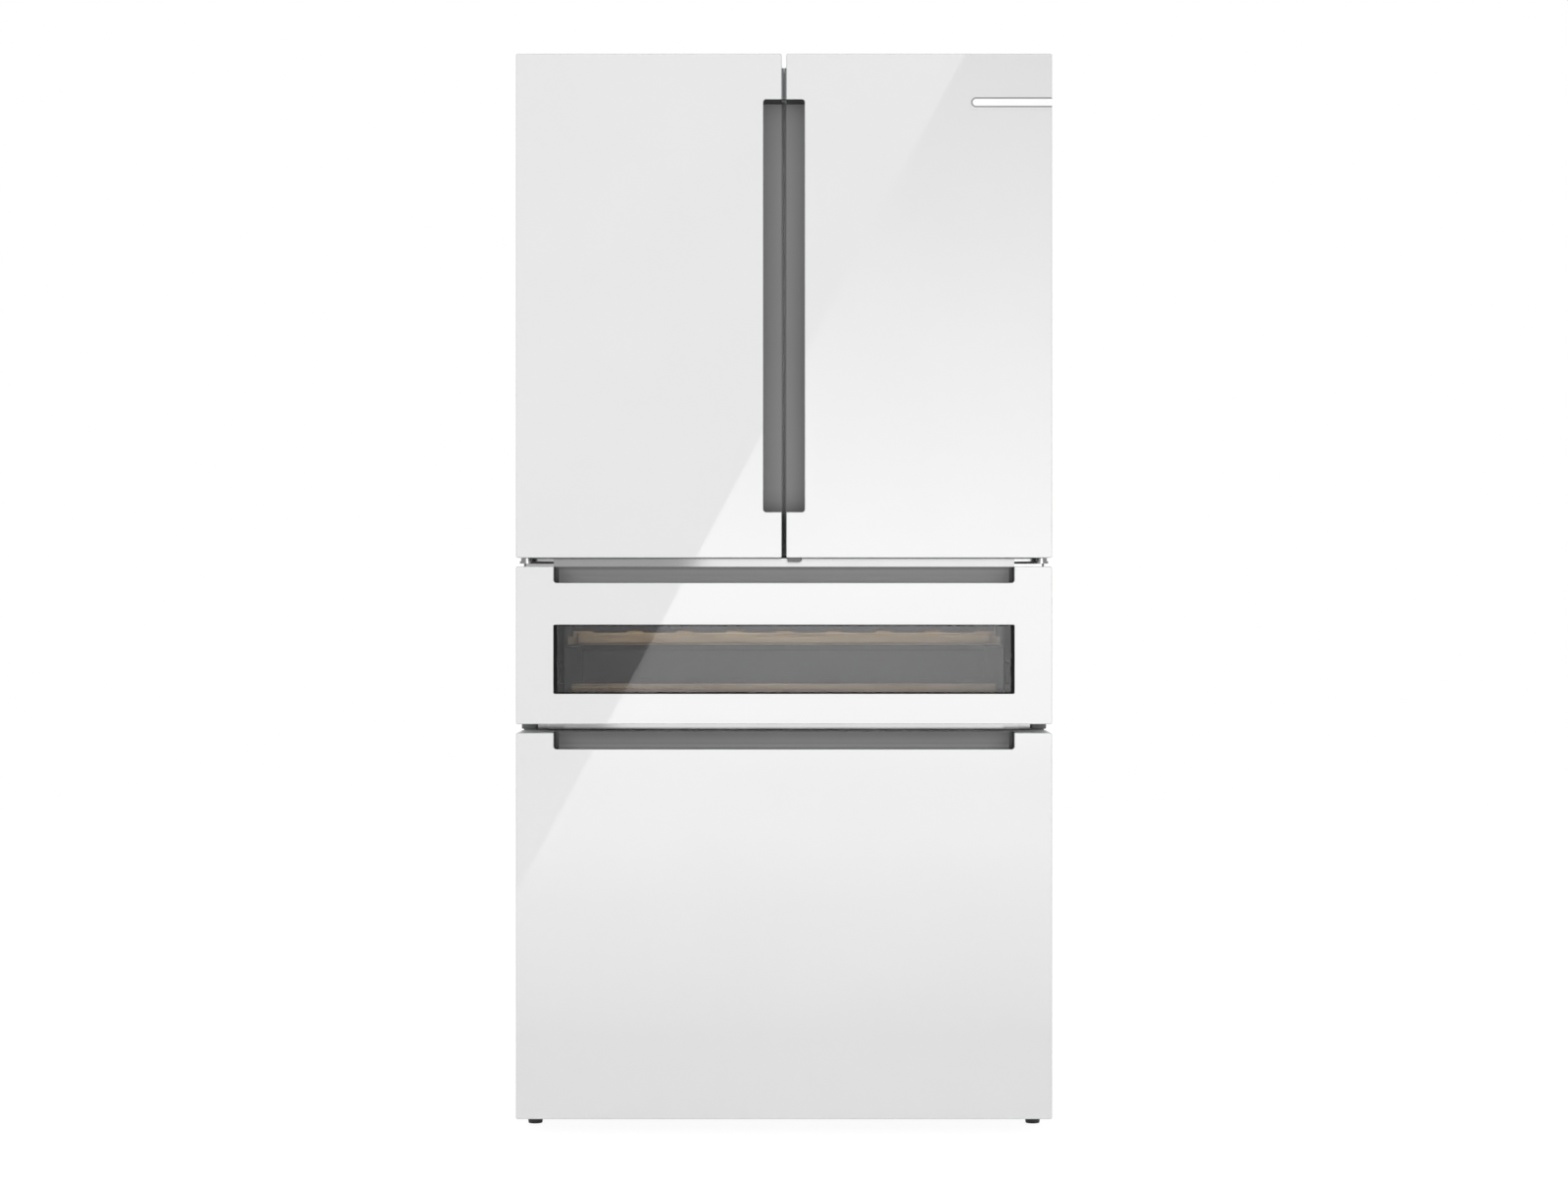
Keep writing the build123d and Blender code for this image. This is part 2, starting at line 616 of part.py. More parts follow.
def rear_rollers():
    """Two rollers on one axle that turns in the base frame's ears."""
    near = ROLLER_X - ROLLER_WIDTH / 2
    far = ROLLER_X + ROLLER_WIDTH / 2
    end = far + EAR + 2 * MOVING_GAP
    wheel = Polyline((0, 0), (0, AXLE_RADIUS), (near, AXLE_RADIUS), (near, ROLLER_RADIUS),
                     (far, ROLLER_RADIUS), (far, AXLE_RADIUS), (end, AXLE_RADIUS), (end, 0), close=True)
    half = revolve(make_face(wheel), axis=Axis.X)
    return Pos(0, ROLLER_Y, ROLLER_RADIUS) * (half + mirror(half, about=Plane.YZ))


# Door hinges
def hinge_plate(tail_start, tail_depth):
    """Plan of a hinge arm: a round tip at the pin, widening to its seat on the cabinet."""
    tip = Pos(HINGE_X, HINGE_Y) * Circle(HINGE_TIP)
    seat = area((HINGE_X - HINGE_TAIL, tail_start), (HINGE_X + HINGE_TIP / 2, tail_start + tail_depth))
    return make_hull([*tip.edges(), *seat.edges()])


def top_hinge():
    """Upper hinge: a plate on the cabinet's top and a pin down into the door."""
    plate = along_z(hinge_plate(CASE_FRONT, HINGE_TAIL_DEPTH), CASE_TOP, CASE_TOP + HINGE_PLATE)
    pin = Pos(HINGE_X, HINGE_Y, CASE_TOP) * extrude(Circle(PIN_RADIUS), amount=-PIN_LENGTH + MOVING_GAP)
    return plate + pin


def lower_hinge():
    """Lower hinge in the gap under a door: a foot on the cabinet's front, a plate and a pin up."""
    low = UPPER_RAIL_Z - HINGE_PLATE / 2
    seat_depth = HINGE_PLATE / 2
    arm = along_z(hinge_plate(CASE_FRONT - seat_depth, seat_depth), low, low + HINGE_PLATE)
    foot = area((HINGE_X - HINGE_TAIL, UPPER_RAIL_Z - FRONT_GAP / 2),
                (HINGE_X + HINGE_TIP / 2, UPPER_RAIL_Z + FRONT_GAP / 2))
    collar = extrude(Circle(HINGE_COLLAR), amount=DOOR_Z[0] - MOVING_GAP - low)
    pin = extrude(Circle(PIN_RADIUS), amount=DOOR_Z[0] + PIN_LENGTH - MOVING_GAP - low)
    upright = Pos(HINGE_X, HINGE_Y, low) * (collar + pin)
    return arm + along_y(foot, CASE_FRONT - seat_depth, CASE_FRONT) + upright


def hinge_cover():
    """A low moulded cover over the upper hinge's seat."""
    top = HEIGHT
    low = (HINGE_X - HINGE_TAIL - HINGE_TIP / 2, CASE_FRONT + SHEET)
    high = (CASE_HALF - SHEET, CASE_FRONT + HINGE_TAIL_DEPTH + HINGE_TIP)
    cover = along_z(area(low, high, HINGE_TIP / 2), CASE_TOP, top)
    cover = fillet(cover.faces().sort_by(Axis.Z)[-1].edges(), HINGE_PLATE)
    return cover - along_z(hinge_plate(CASE_FRONT, HINGE_TAIL_DEPTH), CASE_TOP, CASE_TOP + HINGE_PLATE)


def flip_mullion():
    """The bar that closes the gap between the doors, folded back along the left door's rim."""
    low = FRIDGE_IN[0] + MULLION_END_INSET
    high = FRIDGE_IN[1] - MULLION_END_INSET
    half = MULLION_THICKNESS / 2
    plan = area((MULLION_X - half, MULLION_Y - half),
                (MULLION_X + half, MULLION_Y + MULLION_LENGTH), MULLION_ROUND)
    bar = along_z(plan, low, high)
    pin = Circle(MULLION_PIN_RADIUS)
    up = Pos(MULLION_X, MULLION_Y, high) * extrude(pin, amount=MULLION_PIN_LENGTH)
    down = Pos(MULLION_X, MULLION_Y, low) * extrude(pin, amount=-MULLION_PIN_LENGTH)
    return bar + up + down


def mullion_lugs():
    """Two lugs on the left door's rim that carry the mullion's pins."""
    half = MULLION_THICKNESS / 2
    plan = area((-RIM_CENTRE_INSET - RIM_WALL / 2, MULLION_Y - half), (MULLION_X + half, MULLION_Y + half))
    plan -= Pos(MULLION_X, MULLION_Y) * Circle(MULLION_PIN_RADIUS + RUNNING_FIT)
    low = FRIDGE_IN[0] + MULLION_END_INSET - MOVING_GAP
    high = FRIDGE_IN[1] - MULLION_END_INSET + MOVING_GAP
    return along_z(plan, low - MULLION_LUG, low) + along_z(plan, high, high + MULLION_LUG)


# Fridge fittings
def shelf(low):
    """A glass pane let into the top of a moulded frame."""
    high = low + SHELF_FRAME_HEIGHT
    half = IN_HALF - SHELF_SIDE_GAP
    outline = area((-half, SHELF_Y[0]), (half, SHELF_Y[1]), SHELF_CORNER)
    inside = offset(outline, amount=-SHELF_FRAME)
    seat = offset(outline, amount=-SHELF_FRAME / 2)
    pane = along_z(seat, high - SHELF_PANE, high)
    frame = along_z(outline - inside, low, high) - pane
    return pane, frame


def tub(low, high, z_span, corner, draft, wall):
    """An open moulded box whose walls lean in by the draft towards its floor."""
    top = area(low, high, corner)
    floor = offset(top, amount=-draft)
    outside = loft([Pos(0, 0, z_span[0]) * floor, Pos(0, 0, z_span[1]) * top])
    hollow_floor = Pos(0, 0, z_span[0] + wall) * offset(floor, amount=-wall)
    hollow = loft([hollow_floor, Pos(0, 0, z_span[1]) * offset(top, amount=-wall)])
    return outside - hollow


def crisper():
    """The right crisper: a tub with a rolled grip along its front."""
    low = FRIDGE_IN[0] + MOVING_GAP
    back = SHELF_Y[1] - CRISPER_GAP
    front = SHELF_Y[0] + CRISPER_SETBACK
    x0 = CRISPER_GAP / 2
    x1 = IN_HALF - CRISPER_GAP
    high = low + CRISPER_HEIGHT
    box = tub((x0, front), (x1, back), (low, high), CRISPER_CORNER, CRISPER_WALL, CRISPER_WALL)
    grip = area((front - CRISPER_GRIP, high - CRISPER_GRIP), (front + CRISPER_WALL / 2, high), CRISPER_WALL)
    grip -= area((front - CRISPER_GRIP + CRISPER_WALL, high - CRISPER_GRIP), (front, high - CRISPER_WALL))
    return box + along_x(grip, x0 + CRISPER_CORNER, x1 - CRISPER_CORNER)


def slots(count, pitch, size, vertical):
    """A row of rounded slots about the origin."""
    shape = SlotOverall(size[0], size[1], rotation=90 if vertical else 0)
    step = (pitch, 0) if vertical else (0, pitch)
    middle = (count - 1) / 2
    return [Pos(step[0] * (i - middle), step[1] * (i - middle)) * shape for i in range(count)]


def air_duct():
    """The vented cover up the fridge's back wall."""
    middle = (FRIDGE_IN[0] + FRIDGE_IN[1]) / 2
    height = FRIDGE_IN[1] - FRIDGE_IN[0] - 2 * DUCT_END_GAP
    half = height / 2
    panel = area((-DUCT_WIDTH / 2, middle - half), (DUCT_WIDTH / 2, middle + half), LINER_CORNER)
    duct = along_y(panel, IN_BACK - DUCT_THICKNESS, IN_BACK)
    for vent in slots(DUCT_VENTS, height / DUCT_VENTS, (DUCT_WIDTH / 2, VENT_WIDTH), False):
        duct -= along_y(Pos(0, middle) * vent, IN_BACK - DUCT_THICKNESS, IN_BACK - DUCT_THICKNESS / 2)
    return duct


def fridge_light():
    """A light bar under the fridge's ceiling, behind the door bins."""
    front = SHELF_Y[0] + LIGHT_SETBACK
    plan = area((-LIGHT_WIDTH / 2, front), (LIGHT_WIDTH / 2, front + LIGHT_DEPTH), LINER_CORNER)
    bar = along_z(plan, FRIDGE_IN[1] - LIGHT_HEIGHT, FRIDGE_IN[1])
    return fillet(bar.faces().sort_by(Axis.Z)[0].edges(), LIGHT_EDGE)


# Drawer slides
def slide_member(level, middle):
    """A telescopic slide's channel: level 0 on the liner, 1 between, 2 on the drawer."""
    outer = IN_HALF - level * (SLIDE_THICKNESS + MOVING_GAP)
    half = SLIDE_HEIGHT / 2
    section = area((outer - SLIDE_THICKNESS, middle - half), (outer, middle + half))
    section -= area((outer - SLIDE_THICKNESS, middle - half + SLIDE_WALL),
                    (outer - SLIDE_WALL, middle + half - SLIDE_WALL))
    return along_y(section, SLIDE_Y[0], SLIDE_Y[1])


def drawer_frame(slide_z, flanges):
    """Two bent arms with turned-in flanges, their slide channels, and a bar across the back."""
    low = min(slide_z - SLIDE_HEIGHT / 2, min(z for z, _ in flanges) - ARM)
    high = max(slide_z + SLIDE_HEIGHT / 2, max(z for z, _ in flanges))
    section = area((ARM_X - ARM, low), (ARM_X, high))
    for z, reach in flanges:
        section += area((ARM_X - reach, z - ARM), (ARM_X, z))
    arm = along_y(section, DOOR_BACK, SLIDE_Y[1]) + slide_member(2, slide_z)
    bar_z = flanges[-1][0] - ARM
    bar = area((SLIDE_Y[1] - CROSSBAR, bar_z - CROSSBAR), (SLIDE_Y[1], bar_z), ARM)
    return arm + mirror(arm, about=Plane.YZ) + along_x(bar, -ARM_X + ARM, ARM_X - ARM)


def wine_rack(base, trim_inset, trim_rise, trim_height):
    """A wooden rack: scalloped bars on two stringers behind a rounded front trim."""
    front = CASE_FRONT + RACK_SETBACK
    back = SLIDE_Y[1] - CROSSBAR - RACK_BACK_GAP
    outer = ARM_X - ARM - MOVING_GAP
    end_grain = area((outer - RACK_STRINGER, base), (outer, base + RACK_BAR))
    stringer = along_y(end_grain, front, back)
    rack = stringer + mirror(stringer, about=Plane.YZ)
    bar = area((-outer + RACK_STRINGER / 2, base), (outer - RACK_STRINGER / 2, base + RACK_BAR_HEIGHT))
    cradles = int(2 * (outer - RACK_STRINGER) // CRADLE_SPACING)
    for i in range(cradles):
        x = CRADLE_SPACING * (i - (cradles - 1) / 2)
        bar -= Pos(x, base + CRADLE_FLOOR + CRADLE_RADIUS) * Circle(CRADLE_RADIUS)
    step = (back - front - RACK_BAR) / (RACK_BARS - 1)
    for i in range(RACK_BARS):
        rack += along_y(bar, front + i * step, front + i * step + RACK_BAR)
    half = outer - trim_inset
    low = base + trim_rise
    board = along_y(area((-half, low), (half, low + trim_height), TRIM_EDGE), front - TRIM_THICKNESS, front)
    return rack + fillet(board.faces().sort_by(Axis.Y)[0].edges(), TRIM_ROUND)


def freezer_basket():
    """The deep basket, hung by its rim on the drawer frame's lower flanges."""
    front = CASE_FRONT + BASKET_SETBACK
    side = ARM_X - ARM_FLANGE - BASKET_GAP
    low = (-side, front)
    high = (side, STEP_Y - BASKET_BACK_GAP)
    box = tub(low, high, (BASKET_Z - BASKET_HEIGHT, BASKET_Z), BASKET_CORNER, BASKET_DRAFT, BASKET_WALL)
    half = ARM_X - TRAY_FLANGE - ARM
    rim = area((-half, low[1]), (half, high[1]), BASKET_CORNER)
    ring = rim - offset(area(low, high, BASKET_CORNER), amount=-BASKET_WALL)
    return box + along_z(ring, BASKET_Z, BASKET_Z + BASKET_RIM)


def freezer_tray():
    """The shallow tray that slides back on the drawer frame's upper flanges."""
    base = TRAY_Z + MOVING_GAP
    front = CASE_FRONT + TRAY_SETBACK
    back = SLIDE_Y[1] - CROSSBAR - TRAY_TRAVEL - TRAY_STOP_GAP
    half = ARM_X - TRAY_FLANGE - TRAY_GAP
    low = (-half, front)
    high = (half, back)
    box = tub(low, high, (base, base + TRAY_HEIGHT), BASKET_CORNER, BASKET_WALL, BASKET_WALL)
    reach = ARM_X - ARM - MOVING_GAP
    skid = area((half - BASKET_DRAFT, base), (reach, base + TRAY_SKID))
    strip = along_y(skid, front + BASKET_CORNER, back - BASKET_CORNER)
    inside = offset(area(low, high, BASKET_CORNER), amount=-2 * BASKET_WALL)
    space = along_z(inside, base + BASKET_WALL, base + TRAY_HEIGHT)
    for piece in both_sides(strip):
        box += piece - space
    return box


# Fans: drawn about the Z axis, then placed
def fan_seat():
    """Three spokes, a hub and the shaft that a fan turns on."""
    spoke = area((0, -FAN_SPOKE / 2), (FAN_RADIUS + FAN_SPOKE, FAN_SPOKE / 2))
    seat = extrude(Circle(FAN_SEAT), amount=COVER)
    for turn in (0, 120, 240):
        seat += extrude(Rot(0, 0, turn) * spoke, amount=COVER)
    return seat + extrude(Circle(FAN_SHAFT), amount=FAN_FRAME)


def fan_rotor():
    """A hub with twisted blades, each lofted from a steep root to a flatter tip."""
    start = COVER + MOVING_GAP
    depth = FAN_FRAME - start
    middle = start + depth / 2
    root = Plane(origin=(FAN_ROOT, 0, middle), x_dir=(0, 1, 0), z_dir=(1, 0, 0))
    tip = Plane(origin=(FAN_RADIUS, 0, middle), x_dir=(0, 1, 0), z_dir=(1, 0, 0))
    blade = loft([root * Rot(0, 0, ROOT_PITCH) * RectangleRounded(depth, ROOT_BLADE, BLADE_EDGE),
                  tip * Rot(0, 0, TIP_PITCH) * RectangleRounded(TIP_CHORD, TIP_BLADE, BLADE_EDGE)])
    rotor = Pos(0, 0, start) * extrude(Circle(FAN_HUB), amount=depth)
    for i in range(FAN_BLADES):
        rotor += Rot(0, 0, i * 360 / FAN_BLADES) * blade
    return rotor - extrude(Circle(FAN_SHAFT + RUNNING_FIT), amount=2 * FAN_FRAME)


CONDENSER_FAN_PLACE = Plane(origin=(FAN_X, MACHINE_MID_Y, FAN_Z), x_dir=(0, 1, 0), z_dir=(1, 0, 0))
EVAPORATOR_FAN_PLACE = Plane(origin=(0, COVER_Y, EVAPORATOR_FAN_Z), x_dir=(1, 0, 0), z_dir=(0, 1, 0))


# Machine space
def compressor():
    """A welded steel can with a domed top and a seam flange, on a foot plate."""
    can = extrude(Circle(COMPRESSOR_RADIUS), amount=COMPRESSOR_HEIGHT)
    can = fillet(can.edges().sort_by(Axis.Z)[-1], COMPRESSOR_DOME)
    can = fillet(can.edges().sort_by(Axis.Z)[0], COMPRESSOR_FOOT)
    flange = extrude(Circle(COMPRESSOR_RADIUS + COMPRESSOR_PLATE), amount=COMPRESSOR_PLATE)
    can += Pos(0, 0, COMPRESSOR_SEAM) * flange
    half = MOUNT_SPREAD + MOUNT_RADIUS
    plate = extrude(RectangleRounded(2 * half, 2 * half, MOUNT_RADIUS), amount=COMPRESSOR_PLATE)
    seat = Pos(COMPRESSOR_X, MACHINE_MID_Y, BASE_FLOOR + MOUNT_HEIGHT)
    return seat * (plate + Pos(0, 0, COMPRESSOR_PLATE) * can)


def compressor_mounts():
    """Four waisted rubber mounts between the foot plate and the tray."""
    profile = [Polyline((MOUNT_RADIUS, MOUNT_HEIGHT), (0, MOUNT_HEIGHT), (0, 0), (MOUNT_RADIUS, 0)),
               ThreePointArc((MOUNT_RADIUS, 0), (MOUNT_WAIST, MOUNT_HEIGHT / 2), (MOUNT_RADIUS, MOUNT_HEIGHT))]
    mount = revolve(Plane.XZ * make_face([*profile[0].edges(), profile[1]]), axis=Axis.Z)
    spread = GridLocations(2 * MOUNT_SPREAD, 2 * MOUNT_SPREAD, 2, 2)
    return group(*[Pos(COMPRESSOR_X, MACHINE_MID_Y, BASE_FLOOR) * place * mount for place in spread])


def drain_pan():
    """A moulded pan with the condenser fan's shroud standing at its end."""
    low = (PAN_X - PAN_WIDTH / 2, MACHINE_MID_Y - PAN_DEPTH / 2)
    high = (PAN_X + PAN_WIDTH / 2, MACHINE_MID_Y + PAN_DEPTH / 2)
    pan = tub(low, high, (BASE_FLOOR, BASE_FLOOR + PAN_HEIGHT), LINER_CORNER, PAN_WALL, PAN_WALL)
    shroud = extrude(RectangleRounded(FAN_SIZE, FAN_SIZE, LINER_CORNER), amount=FAN_FRAME)
    shroud -= extrude(Circle(FAN_RADIUS + COVER), amount=FAN_FRAME)
    bridge = area((FAN_X, MACHINE_MID_Y - FAN_SIZE / 4),
                  (low[0] + 2 * PAN_WALL, MACHINE_MID_Y + FAN_SIZE / 4))
    floor = along_z(bridge, BASE_FLOOR, BASE_FLOOR + PAN_WALL)
    return pan + CONDENSER_FAN_PLACE * (shroud + fan_seat()) + floor


def serpentine(y, low):
    """One row of the condenser: level passes joined by half-turn bends."""
    half = COIL_LENGTH / 2
    edges = []
    for i in range(COIL_PASSES):
        z = low + i * COIL_PITCH
        side = 1 if i % 2 == 0 else -1
        edges.append(Line((PAN_X - side * half, y, z), (PAN_X + side * half, y, z)))
        if i + 1 < COIL_PASSES:
            end = PAN_X + side * half
            bow = (end + side * COIL_PITCH / 2, y, z + COIL_PITCH / 2)
            edges.append(ThreePointArc((end, y, z), bow, (end, y, z + COIL_PITCH)))
    start = Plane(origin=(PAN_X - half, y, low), z_dir=(1, 0, 0))
    return sweep(start * Circle(COIL_TUBE), path=Wire(edges))


def condenser_coil():
    """Two serpentine rows held by end plates that stand in the drain pan."""
    floor = BASE_FLOOR + PAN_WALL
    low = floor + PAN_HEIGHT
    high = low + (COIL_PASSES - 1) * COIL_PITCH + 2 * COIL_TUBE
    coil = None
    for i in range(COIL_ROWS):
        row = serpentine(MACHINE_MID_Y + COIL_ROW_PITCH * (i - (COIL_ROWS - 1) / 2), low)
        coil = row if coil is None else coil + row
    reach = COIL_ROW_PITCH * (COIL_ROWS - 1) / 2 + COIL_PLATE_MARGIN
    plate = area((MACHINE_MID_Y - reach, floor), (MACHINE_MID_Y + reach, high), 2 * COIL_TUBE)
    for side in (-1, 1):
        middle = PAN_X + side * (COIL_LENGTH / 2 - COIL_PLATE_INSET)
        coil += along_x(plate, middle - COIL_PLATE / 2, middle + COIL_PLATE / 2)
    return coil


def machine_cover():
    """The louvred plate over the machine space, with a hole for the power inlet."""
    half = CASE_HALF - SHEET
    cover = along_y(area((-half, CASE_BOTTOM), (half, MACHINE_HEIGHT)), FOAM_BACK, FOAM_BACK + SHEET)
    middle = (BASE_TOP + MACHINE_HEIGHT) / 2
    cuts = [Pos(x, middle) * slot for x in (0, LOUVRE_COLUMN)
            for slot in slots(LOUVRES, LOUVRE_PITCH, (LOUVRE_WIDTH, LOUVRE_HEIGHT), False)]
    for cut in cuts:
        cover -= along_y(cut, FOAM_BACK, FOAM_BACK + SHEET)
    hole = Pos(INLET_X, INLET_Z) * RectangleRounded(INLET_WIDTH, INLET_HEIGHT, INLET_CORNER)
    return cover - along_y(hole, FOAM_BACK, FOAM_BACK + SHEET)


def power_inlet():
    """A flush socket behind the machine cover: a flanged body with a recess and three blades."""
    body = Pos(INLET_X, INLET_Z) * RectangleRounded(INLET_WIDTH, INLET_HEIGHT, INLET_CORNER)
    recess = offset(body, amount=-INLET_WALL)
    recess_floor = FOAM_BACK - INLET_DEPTH + INLET_FLOOR
    inlet = along_y(body, FOAM_BACK - INLET_DEPTH, FOAM_BACK)
    inlet += along_y(offset(body, amount=INLET_FLANGE), FOAM_BACK - 2 * SHEET, FOAM_BACK)
    inlet -= along_y(recess, recess_floor, FOAM_BACK)
    for dx, dz in ((-1, -1), (0, 1), (1, -1)):
        place = Pos(INLET_X + dx * BLADE_SPACING, INLET_Z + dz * BLADE_STAGGER)
        blade = place * Rectangle(2 * SHEET, 4 * SHEET)
        inlet += along_y(blade, recess_floor - SHEET, FOAM_BACK - 2 * SHEET)
    return inlet


# Evaporator
def evaporator_coil():
    """Upright fins on level tubes, standing on the step over the machine space."""
    middle = COVER_Y + COVER + (COVER_SETBACK - COVER) / 2
    depth = EVAPORATOR_DEPTH / 2
    fin = area((middle - depth, STEP_Z), (middle + depth, STEP_Z + EVAPORATOR_HEIGHT), COIL_TUBE)
    coil = None
    for i in range(EVAPORATOR_TUBES):
        z = STEP_Z + EVAPORATOR_HEIGHT * (i + 0.5) / EVAPORATOR_TUBES
        tube = along_x(Pos(middle, z) * Circle(COIL_TUBE), -EVAPORATOR_WIDTH / 2, EVAPORATOR_WIDTH / 2)
        coil = tube if coil is None else coil + tube
    pitch = (EVAPORATOR_WIDTH - 2 * FIN_MARGIN) / (FINS - 1)
    for i in range(FINS):
        x = pitch * (i - (FINS - 1) / 2)
        coil += along_x(fin, x - FIN / 2, x + FIN / 2)
    return coil


def evaporator_cover():
    """The freezer's back panel: air slots below, and a ring of spokes that carries the fan."""
    panel = area((-IN_HALF, STEP_Z), (IN_HALF, FREEZER_IN[1] - LINER_CORNER))
    panel -= Pos(0, EVAPORATOR_FAN_Z) * Circle(FAN_RADIUS + COVER)
    for vent in slots(COVER_VENTS, VENT_PITCH, (VENT_LENGTH, VENT_WIDTH), True):
        panel -= Pos(0, STEP_Z + EVAPORATOR_HEIGHT / 2) * vent
    return along_y(panel, COVER_Y, COVER_Y + COVER) + EVAPORATOR_FAN_PLACE * fan_seat()


# The whole refrigerator, by node
def build():
    nodes = {}
    fridge_out, wine_out, freezer_out = compartment_spaces(LINER)
    fridge_in, wine_in, freezer_in = compartment_spaces(0)
    rails = front_rails()
    nodes["outer_cabinet"] = outer_cabinet()
    nodes["back_panel"] = back_panel()
    nodes["insulation_foam"] = insulation((fridge_out, wine_out, freezer_out), rails)
    nodes["fridge_liner"] = fridge_liner(fridge_out, fridge_in)
    nodes["wine_liner"] = wine_out - wine_in
    nodes["freezer_liner"] = freezer_out - freezer_in
    nodes["front_rails"] = group(*rails)
    nodes["base_frame"] = base_frame()
    nodes["levelling_feet"] = group(*both_sides(levelling_foot()))
    nodes["rear_rollers"] = rear_rollers()

    nodes["door_hinges"] = group(*both_sides(top_hinge()), *both_sides(lower_hinge()))
    nodes["hinge_covers"] = group(*both_sides(hinge_cover()))
    nodes["compressor"] = compressor()
    nodes["compressor_mounts"] = compressor_mounts()
    nodes["condenser_coil"] = condenser_coil()
    nodes["drain_pan"] = drain_pan()
    nodes["condenser_fan"] = CONDENSER_FAN_PLACE * fan_rotor()
    nodes["machine_cover"] = machine_cover()
    nodes["power_inlet"] = power_inlet()
    nodes["evaporator_coil"] = evaporator_coil()
    nodes["evaporator_cover"] = evaporator_cover()
    nodes["evaporator_fan"] = EVAPORATOR_FAN_PLACE * fan_rotor()

    shelves = [shelf(z) for z in SHELF_Z]
    nodes["shelf_panes"] = group(*[pane for pane, _ in shelves])
    nodes["shelf_frames"] = group(*[frame for _, frame in shelves])
    nodes["right_crisper"], nodes["left_crisper"] = both_sides(crisper())
    nodes["air_duct"] = air_duct()
    nodes["fridge_light"] = fridge_light()

    for name, shape in door_parts().items():
        nodes["right_door_" + name], nodes["left_door_" + name] = both_sides(shape)
    nodes["left_door_liner"] += mullion_lugs()
    nodes["flip_mullion"] = flip_mullion()
    bar_z = HEIGHT - BAR_DROP - BAR_HEIGHT
    bar = area((WIDTH / 2 - BAR_LENGTH, bar_z), (WIDTH / 2, bar_z + BAR_HEIGHT), FRONT_CORNER)
    nodes["right_door_bar"] = along_y(bar, FRONT_Y - BAR_PROUD, FRONT_Y)

    window = area((-WINDOW_WIDTH / 2, WINDOW_Z[0]), (WINDOW_WIDTH / 2, WINDOW_Z[1]), WINDOW_CORNER)
    glass, shell, channel = drawer_front(WINE_Z, window)
    nodes["wine_glass"] = glass
    nodes["wine_shell"] = shell
    nodes["wine_handle"] = channel
    pane_y = DOOR_BACK - INNER_PANE_SETBACK
    nodes["wine_window"] = group(along_y(window, FRONT_Y, SHELL_Y), along_y(window, pane_y - GLASS, pane_y))
    nodes["wine_window_frame"] = along_y(offset(window, amount=WINDOW_FRAME) - window, SHELL_Y, DOOR_BACK)
    nodes["wine_gasket"] = drawer_gasket(WINE_Z[0] + GASKET_END_INSET, WINE_Z[1] - GASKET_END_INSET)
    rack_z = (LOW_RACK_Z, LOW_RACK_Z + RACK_PITCH)
    nodes["wine_drawer_frame"] = drawer_frame(WINE_SLIDE_Z, [(z, ARM_FLANGE) for z in rack_z])
    lower_rack = wine_rack(rack_z[0], LOWER_TRIM_INSET, LOWER_TRIM_RISE, LOWER_TRIM_HEIGHT)
    upper_rack = wine_rack(rack_z[1], UPPER_TRIM_INSET, UPPER_TRIM_RISE, UPPER_TRIM_HEIGHT)
    nodes["wine_racks"] = group(lower_rack, upper_rack)
    nodes["wine_middle_slides"] = group(*both_sides(slide_member(1, WINE_SLIDE_Z)))

    glass, shell, channel = drawer_front(FREEZER_Z)
    nodes["freezer_glass"] = glass
    nodes["freezer_shell"] = shell
    nodes["freezer_handle"] = channel
    seal_low = FREEZER_IN[0] - LINER - GASKET_WIDTH
    nodes["freezer_gasket"] = drawer_gasket(seal_low, FREEZER_Z[1] - GASKET_END_INSET)
    flanges = [(BASKET_Z, ARM_FLANGE), (TRAY_Z, TRAY_FLANGE)]
    nodes["freezer_drawer_frame"] = drawer_frame(FREEZER_SLIDE_Z, flanges)
    nodes["freezer_basket"] = freezer_basket()
    nodes["freezer_tray"] = freezer_tray()
    nodes["freezer_middle_slides"] = group(*both_sides(slide_member(1, FREEZER_SLIDE_Z)))
    fixed = [slide_member(0, z) for z in (WINE_SLIDE_Z, FREEZER_SLIDE_Z)]
    nodes["fixed_slides"] = group(*[side for slide in fixed for side in both_sides(slide)])
    return nodes


os.makedirs("parts", exist_ok=True)
for node_name, node_shape in build().items():
    export_step(node_shape, f"parts/{node_name}.step")
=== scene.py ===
# %% [markdown]
# French door refrigerator
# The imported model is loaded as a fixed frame: every piece has its real size and place, in metres,
# with X to the right, Y to the back and Z up. This lesson gives each piece its finish, adds the soft
# seals, the thin trims and the small fasteners, and lights the whole as a studio would.

